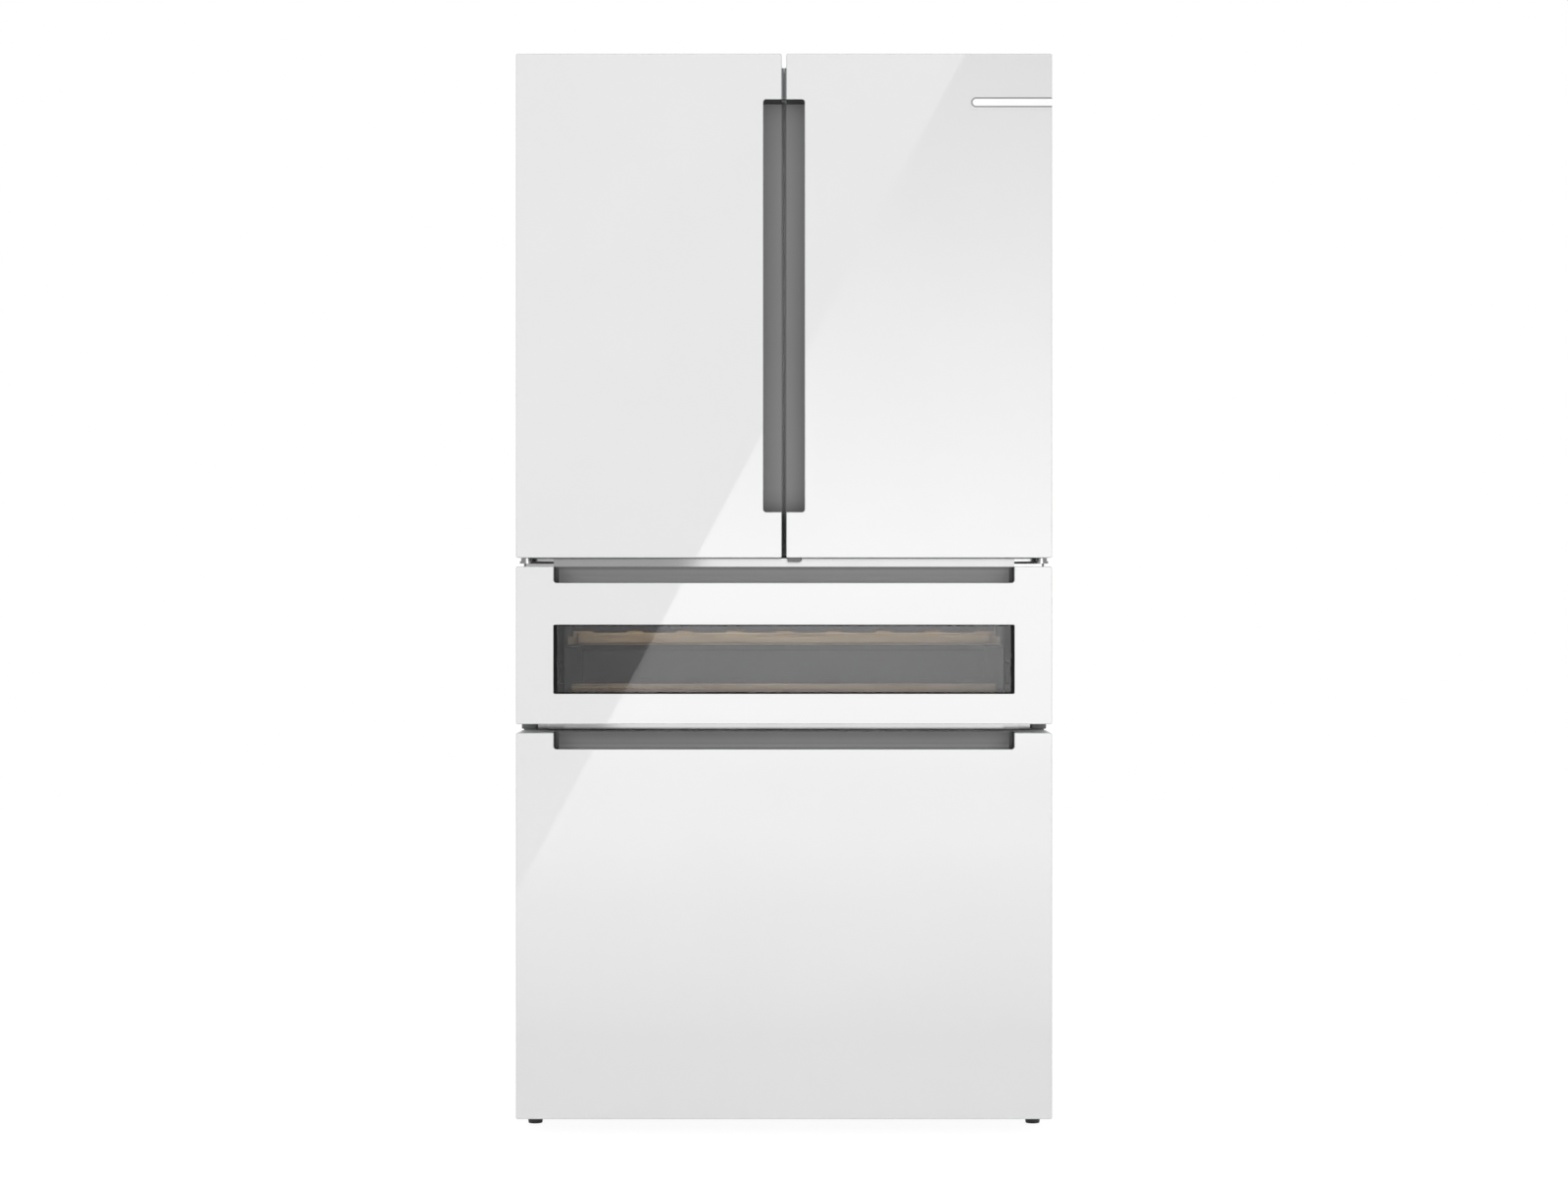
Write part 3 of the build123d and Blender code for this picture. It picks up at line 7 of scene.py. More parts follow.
import bmesh
import bpy
import numpy as np
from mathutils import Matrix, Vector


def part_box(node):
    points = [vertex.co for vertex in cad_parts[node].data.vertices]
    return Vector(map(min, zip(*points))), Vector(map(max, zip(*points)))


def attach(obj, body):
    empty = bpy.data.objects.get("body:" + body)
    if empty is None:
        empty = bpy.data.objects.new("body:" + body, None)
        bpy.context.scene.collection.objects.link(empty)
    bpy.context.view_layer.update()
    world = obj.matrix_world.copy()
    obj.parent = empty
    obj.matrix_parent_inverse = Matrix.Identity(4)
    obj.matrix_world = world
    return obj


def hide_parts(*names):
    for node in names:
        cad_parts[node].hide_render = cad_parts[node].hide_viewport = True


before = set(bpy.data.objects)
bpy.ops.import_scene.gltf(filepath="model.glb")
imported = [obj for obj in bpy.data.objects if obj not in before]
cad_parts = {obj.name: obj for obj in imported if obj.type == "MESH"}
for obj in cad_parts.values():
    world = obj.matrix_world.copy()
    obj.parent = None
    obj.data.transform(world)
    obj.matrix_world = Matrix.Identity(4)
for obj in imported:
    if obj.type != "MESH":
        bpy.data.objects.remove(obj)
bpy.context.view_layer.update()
MM = 0.001

# %% [markdown]
# Places that several steps need are read from the frame, not typed in. The glass front is the plane that
# the two doors share; its distance to the camera sets the picture. The doors' lower edge is the top of the
# upper gap.

# %% Read the places that several steps share
GLASS_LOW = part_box("left_door_glass")[0]
FRONT_Y = GLASS_LOW.y
DOOR_EDGE_Z = GLASS_LOW.z
print("glass front at y =", round(FRONT_Y, 4), "doors end at z =", round(DOOR_EDGE_Z, 4))

# %% [markdown]
# A photographer's catalogue view looks straight at the fronts from five metres, at the height of the
# refrigerator's middle. The lens follows from similar triangles: the frame is 1600 pixels wide and one pixel
# covers 1.6545 mm on the glass front.

# %% Camera
CAMERA_DISTANCE = 5.0
CAMERA_HEIGHT = 0.926
FRAME_PIXELS = 1600
MM_PER_PIXEL = 1.6545
SENSOR_MM = 36.0

camera_data = bpy.data.cameras.new("catalogue_camera")
camera_data.sensor_width = SENSOR_MM
camera_data.lens = SENSOR_MM * CAMERA_DISTANCE / (FRAME_PIXELS * MM_PER_PIXEL * MM)
camera = bpy.data.objects.new("catalogue_camera", camera_data)
camera.location = (0.0, FRONT_Y - CAMERA_DISTANCE, CAMERA_HEIGHT)
camera.rotation_euler = (np.pi / 2, 0.0, 0.0)
bpy.context.collection.objects.link(camera)
bpy.context.scene.camera = camera
print("lens:", round(camera_data.lens, 1), "mm")

# %% [markdown]
# Colours are written as sRGB hex values, the way a designer reads them off a swatch. A renderer adds and
# multiplies light, so one function turns them to linear values first.

# %% Colours from swatches
def linear(swatch):
    """sRGB hex to linear RGBA: a channel is c / 12.92 near black, else ((c + 0.055) / 1.055) ** 2.4."""
    channels = np.array([int(swatch[i:i + 2], 16) for i in (1, 3, 5)]) / 255.0
    curve = ((channels + 0.055) / 1.055) ** 2.4
    return (*np.where(channels <= 0.04045, channels / 12.92, curve), 1.0)


print("middle grey #808080 is", round(linear("#808080")[0], 3), "in linear light")

# %% [markdown]
# A material is a small graph of nodes. One function adds a node with its settings and links, one starts
# a material from its Principled shader, and one puts a finished material on CAD nodes. Patterns are given by
# their real spacing in millimetres, which a texture wants as a number of features per metre.

# %% Nodes and materials
def add(tree, kind, feeds=(), **settings):
    """Adds one node. A setting names an attribute or an input; a feed links a socket or sets a value."""
    made = tree.nodes.new("ShaderNode" + kind)
    for name, value in settings.items():
        if hasattr(made, name):
            setattr(made, name, value)
        else:
            made.inputs[name.replace("_", " ")].default_value = value
    for source, target in feeds:
        if isinstance(source, bpy.types.NodeSocket):
            tree.links.new(source, made.inputs[target])
        else:
            made.inputs[target].default_value = source
    return made


def start_material(name, swatch, **sockets):
    """A named material with one Principled shader, its colour and its constant sockets set."""
    made = bpy.data.materials.new(name)
    made.use_nodes = True
    shader = made.node_tree.nodes["Principled BSDF"]
    shader.inputs["Base Color"].default_value = linear(swatch)
    for socket, value in sockets.items():
        shader.inputs[socket.replace("_", " ")].default_value = value
    return made, made.node_tree, shader


def dress(made, *names):
    """Puts a material on CAD nodes."""
    for name in names:
        for material_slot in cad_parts[name].material_slots:
            material_slot.material = made


def per_metre(size_mm):
    """Scale of a texture whose features are about this many millimetres apart."""
    return 1.0 / (size_mm * MM)


print("a pattern 10 mm apart has scale", round(per_metre(10)))

# %% [markdown]
# Three steps recur in most finishes. Colour and shine drift together between two limits, a second colour lies
# over the first where a mask says so, and such a mask often follows the distance from a plane, so that the
# mesh stays as it is.

# %% Steps that most finishes share
def drift_between(tree, shader, share, swatches, roughness):
    """As a share goes from 0 to 1, colour runs between two swatches and roughness between two values."""
    first, second = linear(swatches[0]), linear(swatches[1])
    colour = add(tree, "Mix", [(share, "Factor"), (first, 6), (second, 7)], data_type="RGBA")
    tree.links.new(colour.outputs[2], shader.inputs["Base Color"])
    shine = add(tree, "MapRange", [(share, "Value")], To_Min=roughness[0], To_Max=roughness[1])
    tree.links.new(shine.outputs[0], shader.inputs["Roughness"])


def overlay(tree, shader, mask, swatch):
    """Lays a swatch over the colour that already feeds the shader, where the mask is 1."""
    below = shader.inputs["Base Color"].links[0].from_socket
    laid = add(tree, "Mix", [(mask, "Factor"), (below, 6), (linear(swatch), 7)], data_type="RGBA")
    tree.links.new(laid.outputs[2], shader.inputs["Base Color"])


def away_from(tree, axis, middle):
    """Distance from a plane: the absolute difference of the object's own X, Y or Z and a middle."""
    place = add(tree, "TexCoord")
    axes = add(tree, "SeparateXYZ", [(place.outputs["Object"], "Vector")])
    shifted = add(tree, "Math", [(axes.outputs[axis], 0), (middle, 1)], operation="SUBTRACT")
    return add(tree, "Math", [(shifted.outputs[0], 0)], operation="ABSOLUTE").outputs[0]


print("shared steps: drift, overlay, distance from a plane")

# %% [markdown]
# Most moulded, painted and plated surfaces differ in three ways only: how their colour drifts, how their
# shine drifts, and how fine their relief is. One function lays those three over a material, each at a real
# spacing in millimetres, so that a satin paint, a grained plastic and a rubber differ by numbers.

# %% Surface character
RELIEF_STRENGTH = 0.5


def grain(tree, shader, swatches, drift_mm, roughness, relief_mm, depth_mm):
    """A slow noise leads the colour and the roughness, and a fine noise is the height of the relief."""
    place = add(tree, "TexCoord").outputs["Object"]
    drift = add(tree, "TexNoise", [(place, "Vector")], Scale=per_metre(drift_mm), Detail=4.0).outputs["Fac"]
    drift_between(tree, shader, drift, swatches, roughness)
    fine = add(tree, "TexNoise", [(place, "Vector")], Scale=per_metre(relief_mm), Detail=2.0)
    bump = add(tree, "Bump", [(fine.outputs["Fac"], "Height")], Strength=RELIEF_STRENGTH,
               Distance=depth_mm * MM)
    tree.links.new(bump.outputs[0], shader.inputs["Normal"])


def plain_finish(name, swatches, drift_mm, roughness, relief_mm, depth_mm, **sockets):
    """A material that is grain alone."""
    made, tree, shader = start_material(name, swatches[0], **sockets)
    grain(tree, shader, swatches, drift_mm, roughness, relief_mm, depth_mm)
    return made


print("grain: slow drift of colour and shine, fine relief of strength", RELIEF_STRENGTH)

# %% [markdown]
# The fronts are toughened float glass, 4 mm thick and painted white on the back. The eye sees two things at
# once: even white paint in the depth and a sharp mirror on top. A Principled shader with a low roughness
# gives both. Float glass is green at its ground edges, so faces that don't look straight out, told by
# the surface normal in the piece's own space, take a grey-green tint.

# %% White back-painted glass
GLASS_IOR = 1.52
TINT_STARTS, TINT_FULL = 0.98, 0.6


def back_painted_glass():
    made, tree, shader = start_material("back_painted_float_glass", "#DEDEDE", IOR=GLASS_IOR, Roughness=0.03)
    place = add(tree, "TexCoord")
    facing = add(tree, "SeparateXYZ", [(place.outputs["Normal"], "Vector")])
    outward = add(tree, "Math", [(facing.outputs["Y"], 0)], operation="ABSOLUTE")
    edge = add(tree, "MapRange", [(outward.outputs[0], "Value")], From_Min=TINT_STARTS, From_Max=TINT_FULL)
    mottle = add(tree, "TexNoise", [(place.outputs["Object"], "Vector")], Scale=per_metre(160), Detail=2.0)
    paint = add(tree, "Mix", [(mottle.outputs["Fac"], "Factor"), (linear("#DCDCDC"), 6),
                              (linear("#DFDFDF"), 7)], data_type="RGBA")
    tree.links.new(paint.outputs[2], shader.inputs["Base Color"])
    overlay(tree, shader, edge.outputs[0], "#BEC5C1")
    return made


dress(back_painted_glass(), "left_door_glass", "right_door_glass", "wine_glass", "freezer_glass")
print("white glass on four fronts, index", GLASS_IOR)

# %% [markdown]
# Behind the glass each front is a shell with white painted edges. Sprayed paint has a faint orange-peel
# relief, about 2 mm from crest to crest; it is drawn at 3 mm here so that it shows.

# %% Satin white paint on the shells
satin_paint = plain_finish("satin_white_paint", ("#DFE0E0", "#E5E6E6"), drift_mm=120, roughness=(0.30, 0.42),
                           relief_mm=3, depth_mm=0.05, IOR=1.5)
dress(satin_paint, "left_door_shell", "right_door_shell", "wine_shell", "freezer_shell")
print("satin paint on four shells")

# %% [markdown]
# The recessed grips are moulded in grey ABS. A fine spark-eroded grain keeps fingerprints from showing, so it
# is dull, with a slightly uneven shine; its pits are drawn 1.4 mm apart, because the real ones are too fine to
# show. Light and shade are painted on a level grip: its lower wall is painted paler, as a painted highlight,
# and what lies above it is painted darker, as painted shade. An upright grip is painted darker towards its
# lower end. Each grip is a cut length of one profile, painted darker for a few millimetres at both ends. These
# bands and the dark ends are painted by the distance from a plane.

# %% Grey plastic in the grips
DARK_END_SWATCH = "#2E2E2E"


def grip_plastic(name, swatches, along, low, high, dark_end_mm, tone_bands):
    """Grained plastic, painted darker at both ends. Each tone band is a height, the distances where it ends and
    is full, and a swatch.
    """
    made, tree, shader = start_material(name, swatches[0], IOR=1.5)
    grain(tree, shader, swatches, drift_mm=60, roughness=(0.42, 0.55), relief_mm=1.4, depth_mm=0.08)
    for height, ends_mm, full_mm, swatch in tone_bands:
        fade = add(tree, "MapRange", [(away_from(tree, "Z", height), "Value")], From_Min=ends_mm * MM,
                   From_Max=full_mm * MM)
        overlay(tree, shader, fade.outputs[0], swatch)
    # Both ends of the grip are painted darker for their last few millimetres.
    from_middle = away_from(tree, along, (low + high) / 2)
    reach = (high - low) / 2 - dark_end_mm * MM
    dark_ends = add(tree, "Math", [(from_middle, 0), (reach, 1)], operation="GREATER_THAN")
    overlay(tree, shader, dark_ends.outputs[0], DARK_END_SWATCH)
    return made


print("dark grip ends:", DARK_END_SWATCH)

# %% [markdown]
# The two upright grips share one material. The level ones are one plastic, given two slightly different greys
# as painted light and shade; each has painted shade along its top and a painted highlight on the wall under its
# opening.

# %% Grips of the doors and drawers
UPRIGHT_DARK_END_MM, LEVEL_DARK_END_MM = 3.2, 7.8
GRIP_OPENING = 26 * MM
LEVEL_GRIPS = (
    ("wine_handle", "grained_abs_wine_grip", ("#6E6E6E", "#767676"),
     (7, 2, "#515151"), (11, 2, "#878787")),
    ("freezer_handle", "grained_abs_freezer_grip", ("#646464", "#6C6C6C"),
     (16, 5, "#515151"), (6, 2, "#828282")),
)

grip_low, grip_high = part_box("left_door_handle")
# The upright grips are painted darker towards their lower end.
upright_darkening = ((grip_low.z, 590, 290, "#707070"), (grip_low.z, 45, 10, "#646464"))
upright = grip_plastic("grained_abs_upright", ("#777777", "#7F7F7F"), "Z", grip_low.z, grip_high.z,
                       UPRIGHT_DARK_END_MM, upright_darkening)
dress(upright, "left_door_handle", "right_door_handle")
for node, name, swatches, painted_top_shade, painted_lower_highlight in LEVEL_GRIPS:
    low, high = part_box(node)
    # Painted shade along the top of a level grip, and a painted highlight on the wall under its opening.
    level_painted_light = ((high.z, *painted_top_shade), (high.z - GRIP_OPENING, *painted_lower_highlight))
    dress(grip_plastic(name, swatches, "X", low.x, high.x, LEVEL_DARK_END_MM, level_painted_light), node)
print("grips: two upright,", len(LEVEL_GRIPS), "level")

# %% [markdown]
# The cabinet's wrap is steel sheet, given a leathery paint before it is bent, which hides scratches: rounded
# pebbles with creases between them. The creases are dips in the relief, and they are also painted darker, as
# painted shade. A Voronoi texture's distance to the cell edge is such a crease. The pebbles of real coil paint
# are 2 to 3 mm across; they are drawn at 6 mm, because finer ones wouldn't show.

# %% Textured cabinet paint
PEBBLE_MM = 6
CREASE_ENDS, CREASE_FULL = 0.17, 0.02


def leathery_paint():
    made, tree, shader = start_material("textured_grey_coil_paint", "#818284", IOR=1.5)
    place = add(tree, "TexCoord").outputs["Object"]
    drift = add(tree, "TexNoise", [(place, "Vector")], Scale=per_metre(90), Detail=4.0).outputs["Fac"]
    drift_between(tree, shader, drift, ("#808183", "#898A8C"), (0.45, 0.58))
    pebbles = add(tree, "TexVoronoi", [(place, "Vector")], feature="DISTANCE_TO_EDGE",
                  Scale=per_metre(PEBBLE_MM))
    crease_dip_and_shade = add(tree, "MapRange", [(pebbles.outputs["Distance"], "Value")], From_Min=CREASE_ENDS,
                 From_Max=CREASE_FULL)
    # Painted shade: the creases are painted a darker grey.
    overlay(tree, shader, crease_dip_and_shade.outputs[0], "#7A7B7D")
    bump = add(tree, "Bump", [(crease_dip_and_shade.outputs[0], "Height")], invert=True, Strength=0.4, Distance=0.15 * MM)
    tree.links.new(bump.outputs[0], shader.inputs["Normal"])
    return made


dress(leathery_paint(), "outer_cabinet")
print("cabinet wrap coated, pebbles", PEBBLE_MM, "mm")

# %% [markdown]
# Zinc-plated steel shows spangles: crystals of zinc, each reflecting a little differently. A Voronoi
# texture is made of such cells; its random colour per cell shifts both tone and roughness.

# %% Galvanised steel
SPANGLE_MM = 9


def galvanised_steel():
    made, tree, shader = start_material("spangled_zinc_steel", "#B5B7B9", Metallic=1.0, Roughness=0.4)
    place = add(tree, "TexCoord").outputs["Object"]
    cells = add(tree, "TexVoronoi", [(place, "Vector")], Scale=per_metre(SPANGLE_MM))
    tone = add(tree, "RGBToBW", [(cells.outputs["Color"], "Color")]).outputs[0]
    drift_between(tree, shader, tone, ("#A7A9AB", "#C3C5C6"), (0.32, 0.5))
    return made


dress(galvanised_steel(), "back_panel", "base_frame", "machine_cover", "fixed_slides", "freezer_drawer_frame",
      "freezer_middle_slides")
print("zinc spangles", SPANGLE_MM, "mm apart")

# %% [markdown]
# The compartments and door linings are vacuum-formed polystyrene: a glossy white sheet, drawn hot over
# a mould, with a slow waviness where it cooled.

# %% Formed white plastic
formed_plastic = plain_finish("vacuum_formed_polystyrene", ("#E9EBEC", "#EFF1F2"), drift_mm=150,
                              roughness=(0.18, 0.3), relief_mm=45, depth_mm=0.25, IOR=1.59)
dress(formed_plastic, "fridge_liner", "freezer_liner", "left_door_liner", "right_door_liner",
      "evaporator_cover", "air_duct", "shelf_frames")
print("linings formed")

# %% [markdown]
# Bins, crispers, basket and tray are injection-moulded clear polystyrene. It is a real transparent
# dielectric, so transmission does the work; a little roughness stands for the scuffs of use.

# %% Clear plastic
def clear_plastic():
    made, tree, shader = start_material("clear_polystyrene", "#EEF5F7", IOR=1.59, Transmission_Weight=0.92)
    place = add(tree, "TexCoord").outputs["Object"]
    scuffs = add(tree, "TexNoise", [(place, "Vector")], Scale=per_metre(35), Detail=6.0)
    shine = add(tree, "MapRange", [(scuffs.outputs["Fac"], "Value")], To_Min=0.03, To_Max=0.16)
    tree.links.new(shine.outputs[0], shader.inputs["Roughness"])
    return made


dress(clear_plastic(), "left_door_bins", "right_door_bins", "left_crisper", "right_crisper", "freezer_basket",
      "freezer_tray")
print("clear bins, crispers, basket and tray")

# %% [markdown]
# The shelves are clear glass with ground edges. Looking into an edge, the eye meets a long path of slightly
# green glass, so the edge faces get the green that the flat faces are too thin to show.

# %% Shelf glass
def shelf_glass():
    made, tree, shader = start_material("clear_float_glass", "#F2F8F6", IOR=GLASS_IOR, Roughness=0.02,
                                        Transmission_Weight=1.0)
    place = add(tree, "TexCoord")
    facing = add(tree, "SeparateXYZ", [(place.outputs["Normal"], "Vector")])
    flat = add(tree, "Math", [(facing.outputs["Z"], 0)], operation="ABSOLUTE")
    tint = add(tree, "Mix", [(flat.outputs[0], "Factor"), (linear("#9CC3B4"), 6), (linear("#F2F8F6"), 7)],
               data_type="RGBA")
    tree.links.new(tint.outputs[2], shader.inputs["Base Color"])
    return made


dress(shelf_glass(), "shelf_panes")
print("shelf panes of index", GLASS_IOR)

# %% [markdown]
# The wine window is two panes of smoked glass, to keep daylight from the wine. A thin flat pane doesn't bend
# a line of sight, so a refracting shader would only cost light and add noise. Instead each face catches
# a sixth of the light with its alpha and lets the rest pass straight on. Only the caught share is
# mirrored, so the index is raised until the whole window mirrors about 3 %.

# %% Smoked window glass
FACE_CATCH = (0.155, 0.17)
RAISED_IOR = 1.82


def smoked_glass():
    made, tree, shader = start_material("smoked_glass", "#0E0E0E", IOR=RAISED_IOR, Roughness=0.02)
    place = add(tree, "TexCoord").outputs["Object"]
    cloud = add(tree, "TexNoise", [(place, "Vector")], Scale=per_metre(250), Detail=1.0)
    smoke = add(tree, "MapRange", [(cloud.outputs["Fac"], "Value")], To_Min=FACE_CATCH[0], To_Max=FACE_CATCH[1])
    tree.links.new(smoke.outputs[0], shader.inputs["Alpha"])
    return made


dress(smoked_glass(), "wine_window")
print("each window face catches", FACE_CATCH)

# %% [markdown]
# The wine racks are oiled beech. Beech has straight, even grain along the board, a few millimetres between
# early and late wood, and short dark flecks. The noise is stretched along X, the way the boards run. Only the
# trim at the front is left bare; the scalloped bars behind it are stained dark, which the depth along Y tells.

# %% Oiled beech
STAIN_DEPTH = 18.5 * MM
ALONG_BOARD = (0.06, 1.0, 1.0)
WOOD_STOPS = ((0.3, "#A98A5E"), (0.7, "#D3BA92"))
FLECK_STARTS, FLECK_FULL = 0.62, 0.72
rack_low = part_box("wine_racks")[0]


def oiled_beech():
    made, tree, shader = start_material("oiled_beech", "#C9AE84", IOR=1.47)
    place = add(tree, "TexCoord").outputs["Object"]
    along = add(tree, "Mapping", [(place, "Vector")], Scale=ALONG_BOARD).outputs[0]
    rings = add(tree, "TexNoise", [(along, "Vector")], Scale=per_metre(6), Detail=5.0,
                Distortion=0.4).outputs["Fac"]
    wood = add(tree, "ValToRGB", [(rings, "Fac")])
    for stop, (position, swatch) in zip(wood.color_ramp.elements, WOOD_STOPS):
        stop.position = position
        stop.color = linear(swatch)
    tree.links.new(wood.outputs["Color"], shader.inputs["Base Color"])
    flecks = add(tree, "TexNoise", [(along, "Vector")], Scale=per_metre(1.5), Detail=2.0)
    fleck = add(tree, "MapRange", [(flecks.outputs["Fac"], "Value")], From_Min=FLECK_STARTS,
                From_Max=FLECK_FULL)
    overlay(tree, shader, fleck.outputs[0], "#8E6E46")
    from_front = away_from(tree, "Y", rack_low.y)
    behind = add(tree, "Math", [(from_front, 0), (STAIN_DEPTH, 1)], operation="GREATER_THAN")
    overlay(tree, shader, behind.outputs[0], "#3A2A1F")
    shine = add(tree, "MapRange", [(rings, "Value")], To_Min=0.42, To_Max=0.6)
    tree.links.new(shine.outputs[0], shader.inputs["Roughness"])
    bump = add(tree, "Bump", [(rings, "Height")], Strength=0.3, Distance=0.2 * MM)
    tree.links.new(bump.outputs[0], shader.inputs["Normal"])
    return made


dress(oiled_beech(), "wine_racks")
print("beech stained from", round(STAIN_DEPTH / MM, 1), "mm behind the trim's face")

# %% [markdown]
# The machine space and the small mouldings wear working finishes, each one call of the same surface function.
# Rubber is dull and a little dusty. Moulded plastic has the fine spark grain of its mould, drawn as coarse as
# in the grips. Enamel is dipped, so it is smooth and shiny, with sags some millimetres apart.

# %% Rubber, moulded plastic and enamel
black_rubber = plain_finish("moulded_black_rubber", ("#1B1B1C", "#242425"), drift_mm=30, roughness=(0.6, 0.8),
                            relief_mm=2, depth_mm=0.1)
grey_plastic = plain_finish("moulded_grey_plastic", ("#97999B", "#9FA1A3"), drift_mm=50, roughness=(0.4, 0.5),
                            relief_mm=1.5, depth_mm=0.08)
black_plastic = plain_finish("moulded_black_plastic", ("#202122", "#28292A"), drift_mm=50,
                             roughness=(0.4, 0.55), relief_mm=1.5, depth_mm=0.1)
black_enamel = plain_finish("black_enamel", ("#121213", "#19191A"), drift_mm=80, roughness=(0.22, 0.34),
                            relief_mm=8, depth_mm=0.1)
dress(black_rubber, "levelling_feet", "compressor_mounts")
dress(grey_plastic, "hinge_covers", "flip_mullion")
dress(black_plastic, "drain_pan", "condenser_fan", "evaporator_fan", "power_inlet", "rear_rollers",
      "wine_window_frame")
dress(black_enamel, "compressor", "condenser_coil")
print("materials so far:", len(bpy.data.materials))

# %% [markdown]
# The wine compartment is kept dark, because light harms wine: a formed graphite lining, and arms in powder
# coat, which bakes to a fine dull crust. Fins of rolled aluminium keep the mill's soft shine. Foam is matt
# with open pores, and the ceiling light has an opal cover that scatters its light. Crust and mill marks are
# drawn about 1 mm apart, coarser than they are.

# %% Lining, powder coat, aluminium, foam and opal cover
graphite_lining = plain_finish("graphite_polystyrene", ("#39393A", "#424243"), drift_mm=150,
                               roughness=(0.25, 0.35), relief_mm=45, depth_mm=0.2)
powder_coat = plain_finish("black_powder_coat", ("#161617", "#1D1D1E"), drift_mm=60, roughness=(0.5, 0.65),
                           relief_mm=1.2, depth_mm=0.08)
mill_aluminium = plain_finish("mill_finish_aluminium", ("#C4C7CA", "#D2D5D8"), drift_mm=20,
                              roughness=(0.3, 0.45), relief_mm=1, depth_mm=0.05, Metallic=1.0)
open_foam = plain_finish("polyurethane_foam", ("#E2D3A2", "#D4C28C"), drift_mm=12, roughness=(0.85, 0.95),
                         relief_mm=4, depth_mm=0.8)
opal_cover = plain_finish("opal_polycarbonate", ("#F6F6F2", "#FAFAF7"), drift_mm=40, roughness=(0.25, 0.35),
                          relief_mm=10, depth_mm=0.05)
dress(graphite_lining, "wine_liner")
dress(powder_coat, "wine_drawer_frame", "wine_middle_slides")
dress(mill_aluminium, "evaporator_coil")
dress(open_foam, "insulation_foam")
dress(opal_cover, "fridge_light")
print("materials so far:", len(bpy.data.materials))

# %% [markdown]
# The rails between the compartments are polished steel, which mirrors what stands before the gaps. Above the
# upper gap, where the doors' seals close on it, the rail is painted black, as painted shade. The hinges beside
# it are plated bright.

# %% Polished rails and bright hinges
rail_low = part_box("front_rails")[0]
rail_steel, rail_tree, rail_shader = start_material("polished_rail_steel", "#727272", Metallic=1.0)
grain(rail_tree, rail_shader, ("#6E6E6E", "#777777"), drift_mm=70, roughness=(0.08, 0.12), relief_mm=30,
      depth_mm=0.02)
above_foot = away_from(rail_tree, "Z", rail_low.z)
# Painted shade: above the doors' lower edge the rail is painted black.
painted_shade_band = add(rail_tree, "Math", [(above_foot, 0), (DOOR_EDGE_Z - rail_low.z, 1)], operation="GREATER_THAN")
overlay(rail_tree, rail_shader, painted_shade_band.outputs[0], "#161616")
dress(rail_steel, "front_rails")
bright_zinc = plain_finish("bright_zinc_hinge", ("#808080", "#8A8A8A"), drift_mm=40, roughness=(0.08, 0.14),
                           relief_mm=20, depth_mm=0.02, Metallic=1.0)
dress(bright_zinc, "door_hinges")
print("rail coated above z =", round(DOOR_EDGE_Z, 3))

# %% [markdown]
# The bare bar at the upper right is a white enamelled strip, painted grey along its rim as painted shade on its
# edges. Its left end is a half circle, so the rim follows the distance from the strip's middle line: along the
# strip only the height counts, and past the line's left end the distance is round. The rim sits a little nearer
# to the strip's upper edge, and the lower edge keeps the white of the glass.

# %% Enamelled bar
BAR_SHADE_RIM = 3.2 * MM
BAR_BARE_EDGE = 2.3 * MM
SOFT_EDGE = 0.5 * MM
bar_low, bar_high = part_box("right_door_bar")
bar_half = (bar_high.z - bar_low.z - BAR_BARE_EDGE) / 2
bar_enamel, bar_tree, bar_shader = start_material("white_enamel_on_zinc", "#F7F7F7", IOR=1.55)
grain(bar_tree, bar_shader, ("#F5F5F5", "#FAFAFA"), drift_mm=40, roughness=(0.2, 0.3), relief_mm=8,
      depth_mm=0.01)
bar_place = add(bar_tree, "TexCoord")
bar_axes = add(bar_tree, "SeparateXYZ", [(bar_place.outputs["Object"], "Vector")])
past_end = add(bar_tree, "Math", [(bar_low.x + bar_half, 0), (bar_axes.outputs["X"], 1)], operation="SUBTRACT")
line_x = add(bar_tree, "Math", [(past_end.outputs[0], 0), (0.0, 1)], operation="MAXIMUM")
line_z = away_from(bar_tree, "Z", bar_high.z - bar_half)
from_line = add(bar_tree, "CombineXYZ", [(line_x.outputs[0], "X"), (line_z, "Z")])
distance = add(bar_tree, "VectorMath", [(from_line.outputs[0], 0)], operation="LENGTH")
# The first band is the painted shade of the rim; the second keeps the white of the glass.
for edge, swatch in ((bar_half - BAR_SHADE_RIM, "#9C9C9C"), (bar_half, "#DDDDDD")):
    outside = add(bar_tree, "MapRange", [(distance.outputs["Value"], "Value")], From_Min=edge - SOFT_EDGE,
                  From_Max=edge + SOFT_EDGE)
    overlay(bar_tree, bar_shader, outside.outputs[0], swatch)
dress(bar_enamel, "right_door_bar")
print("bar rim:", round(BAR_SHADE_RIM / MM, 1), "mm")

# %% [markdown]
# Seals and beads run round a rounded rectangle. They could be swept with a curve and a bevel, but a profile
# then twists at the corners. Here the path is a line of points with an outward direction at each, a piece is
# a grid of points, and one function gives the faces between neighbours.

# %% A path round a rounded rectangle
CORNER_STEPS = 9


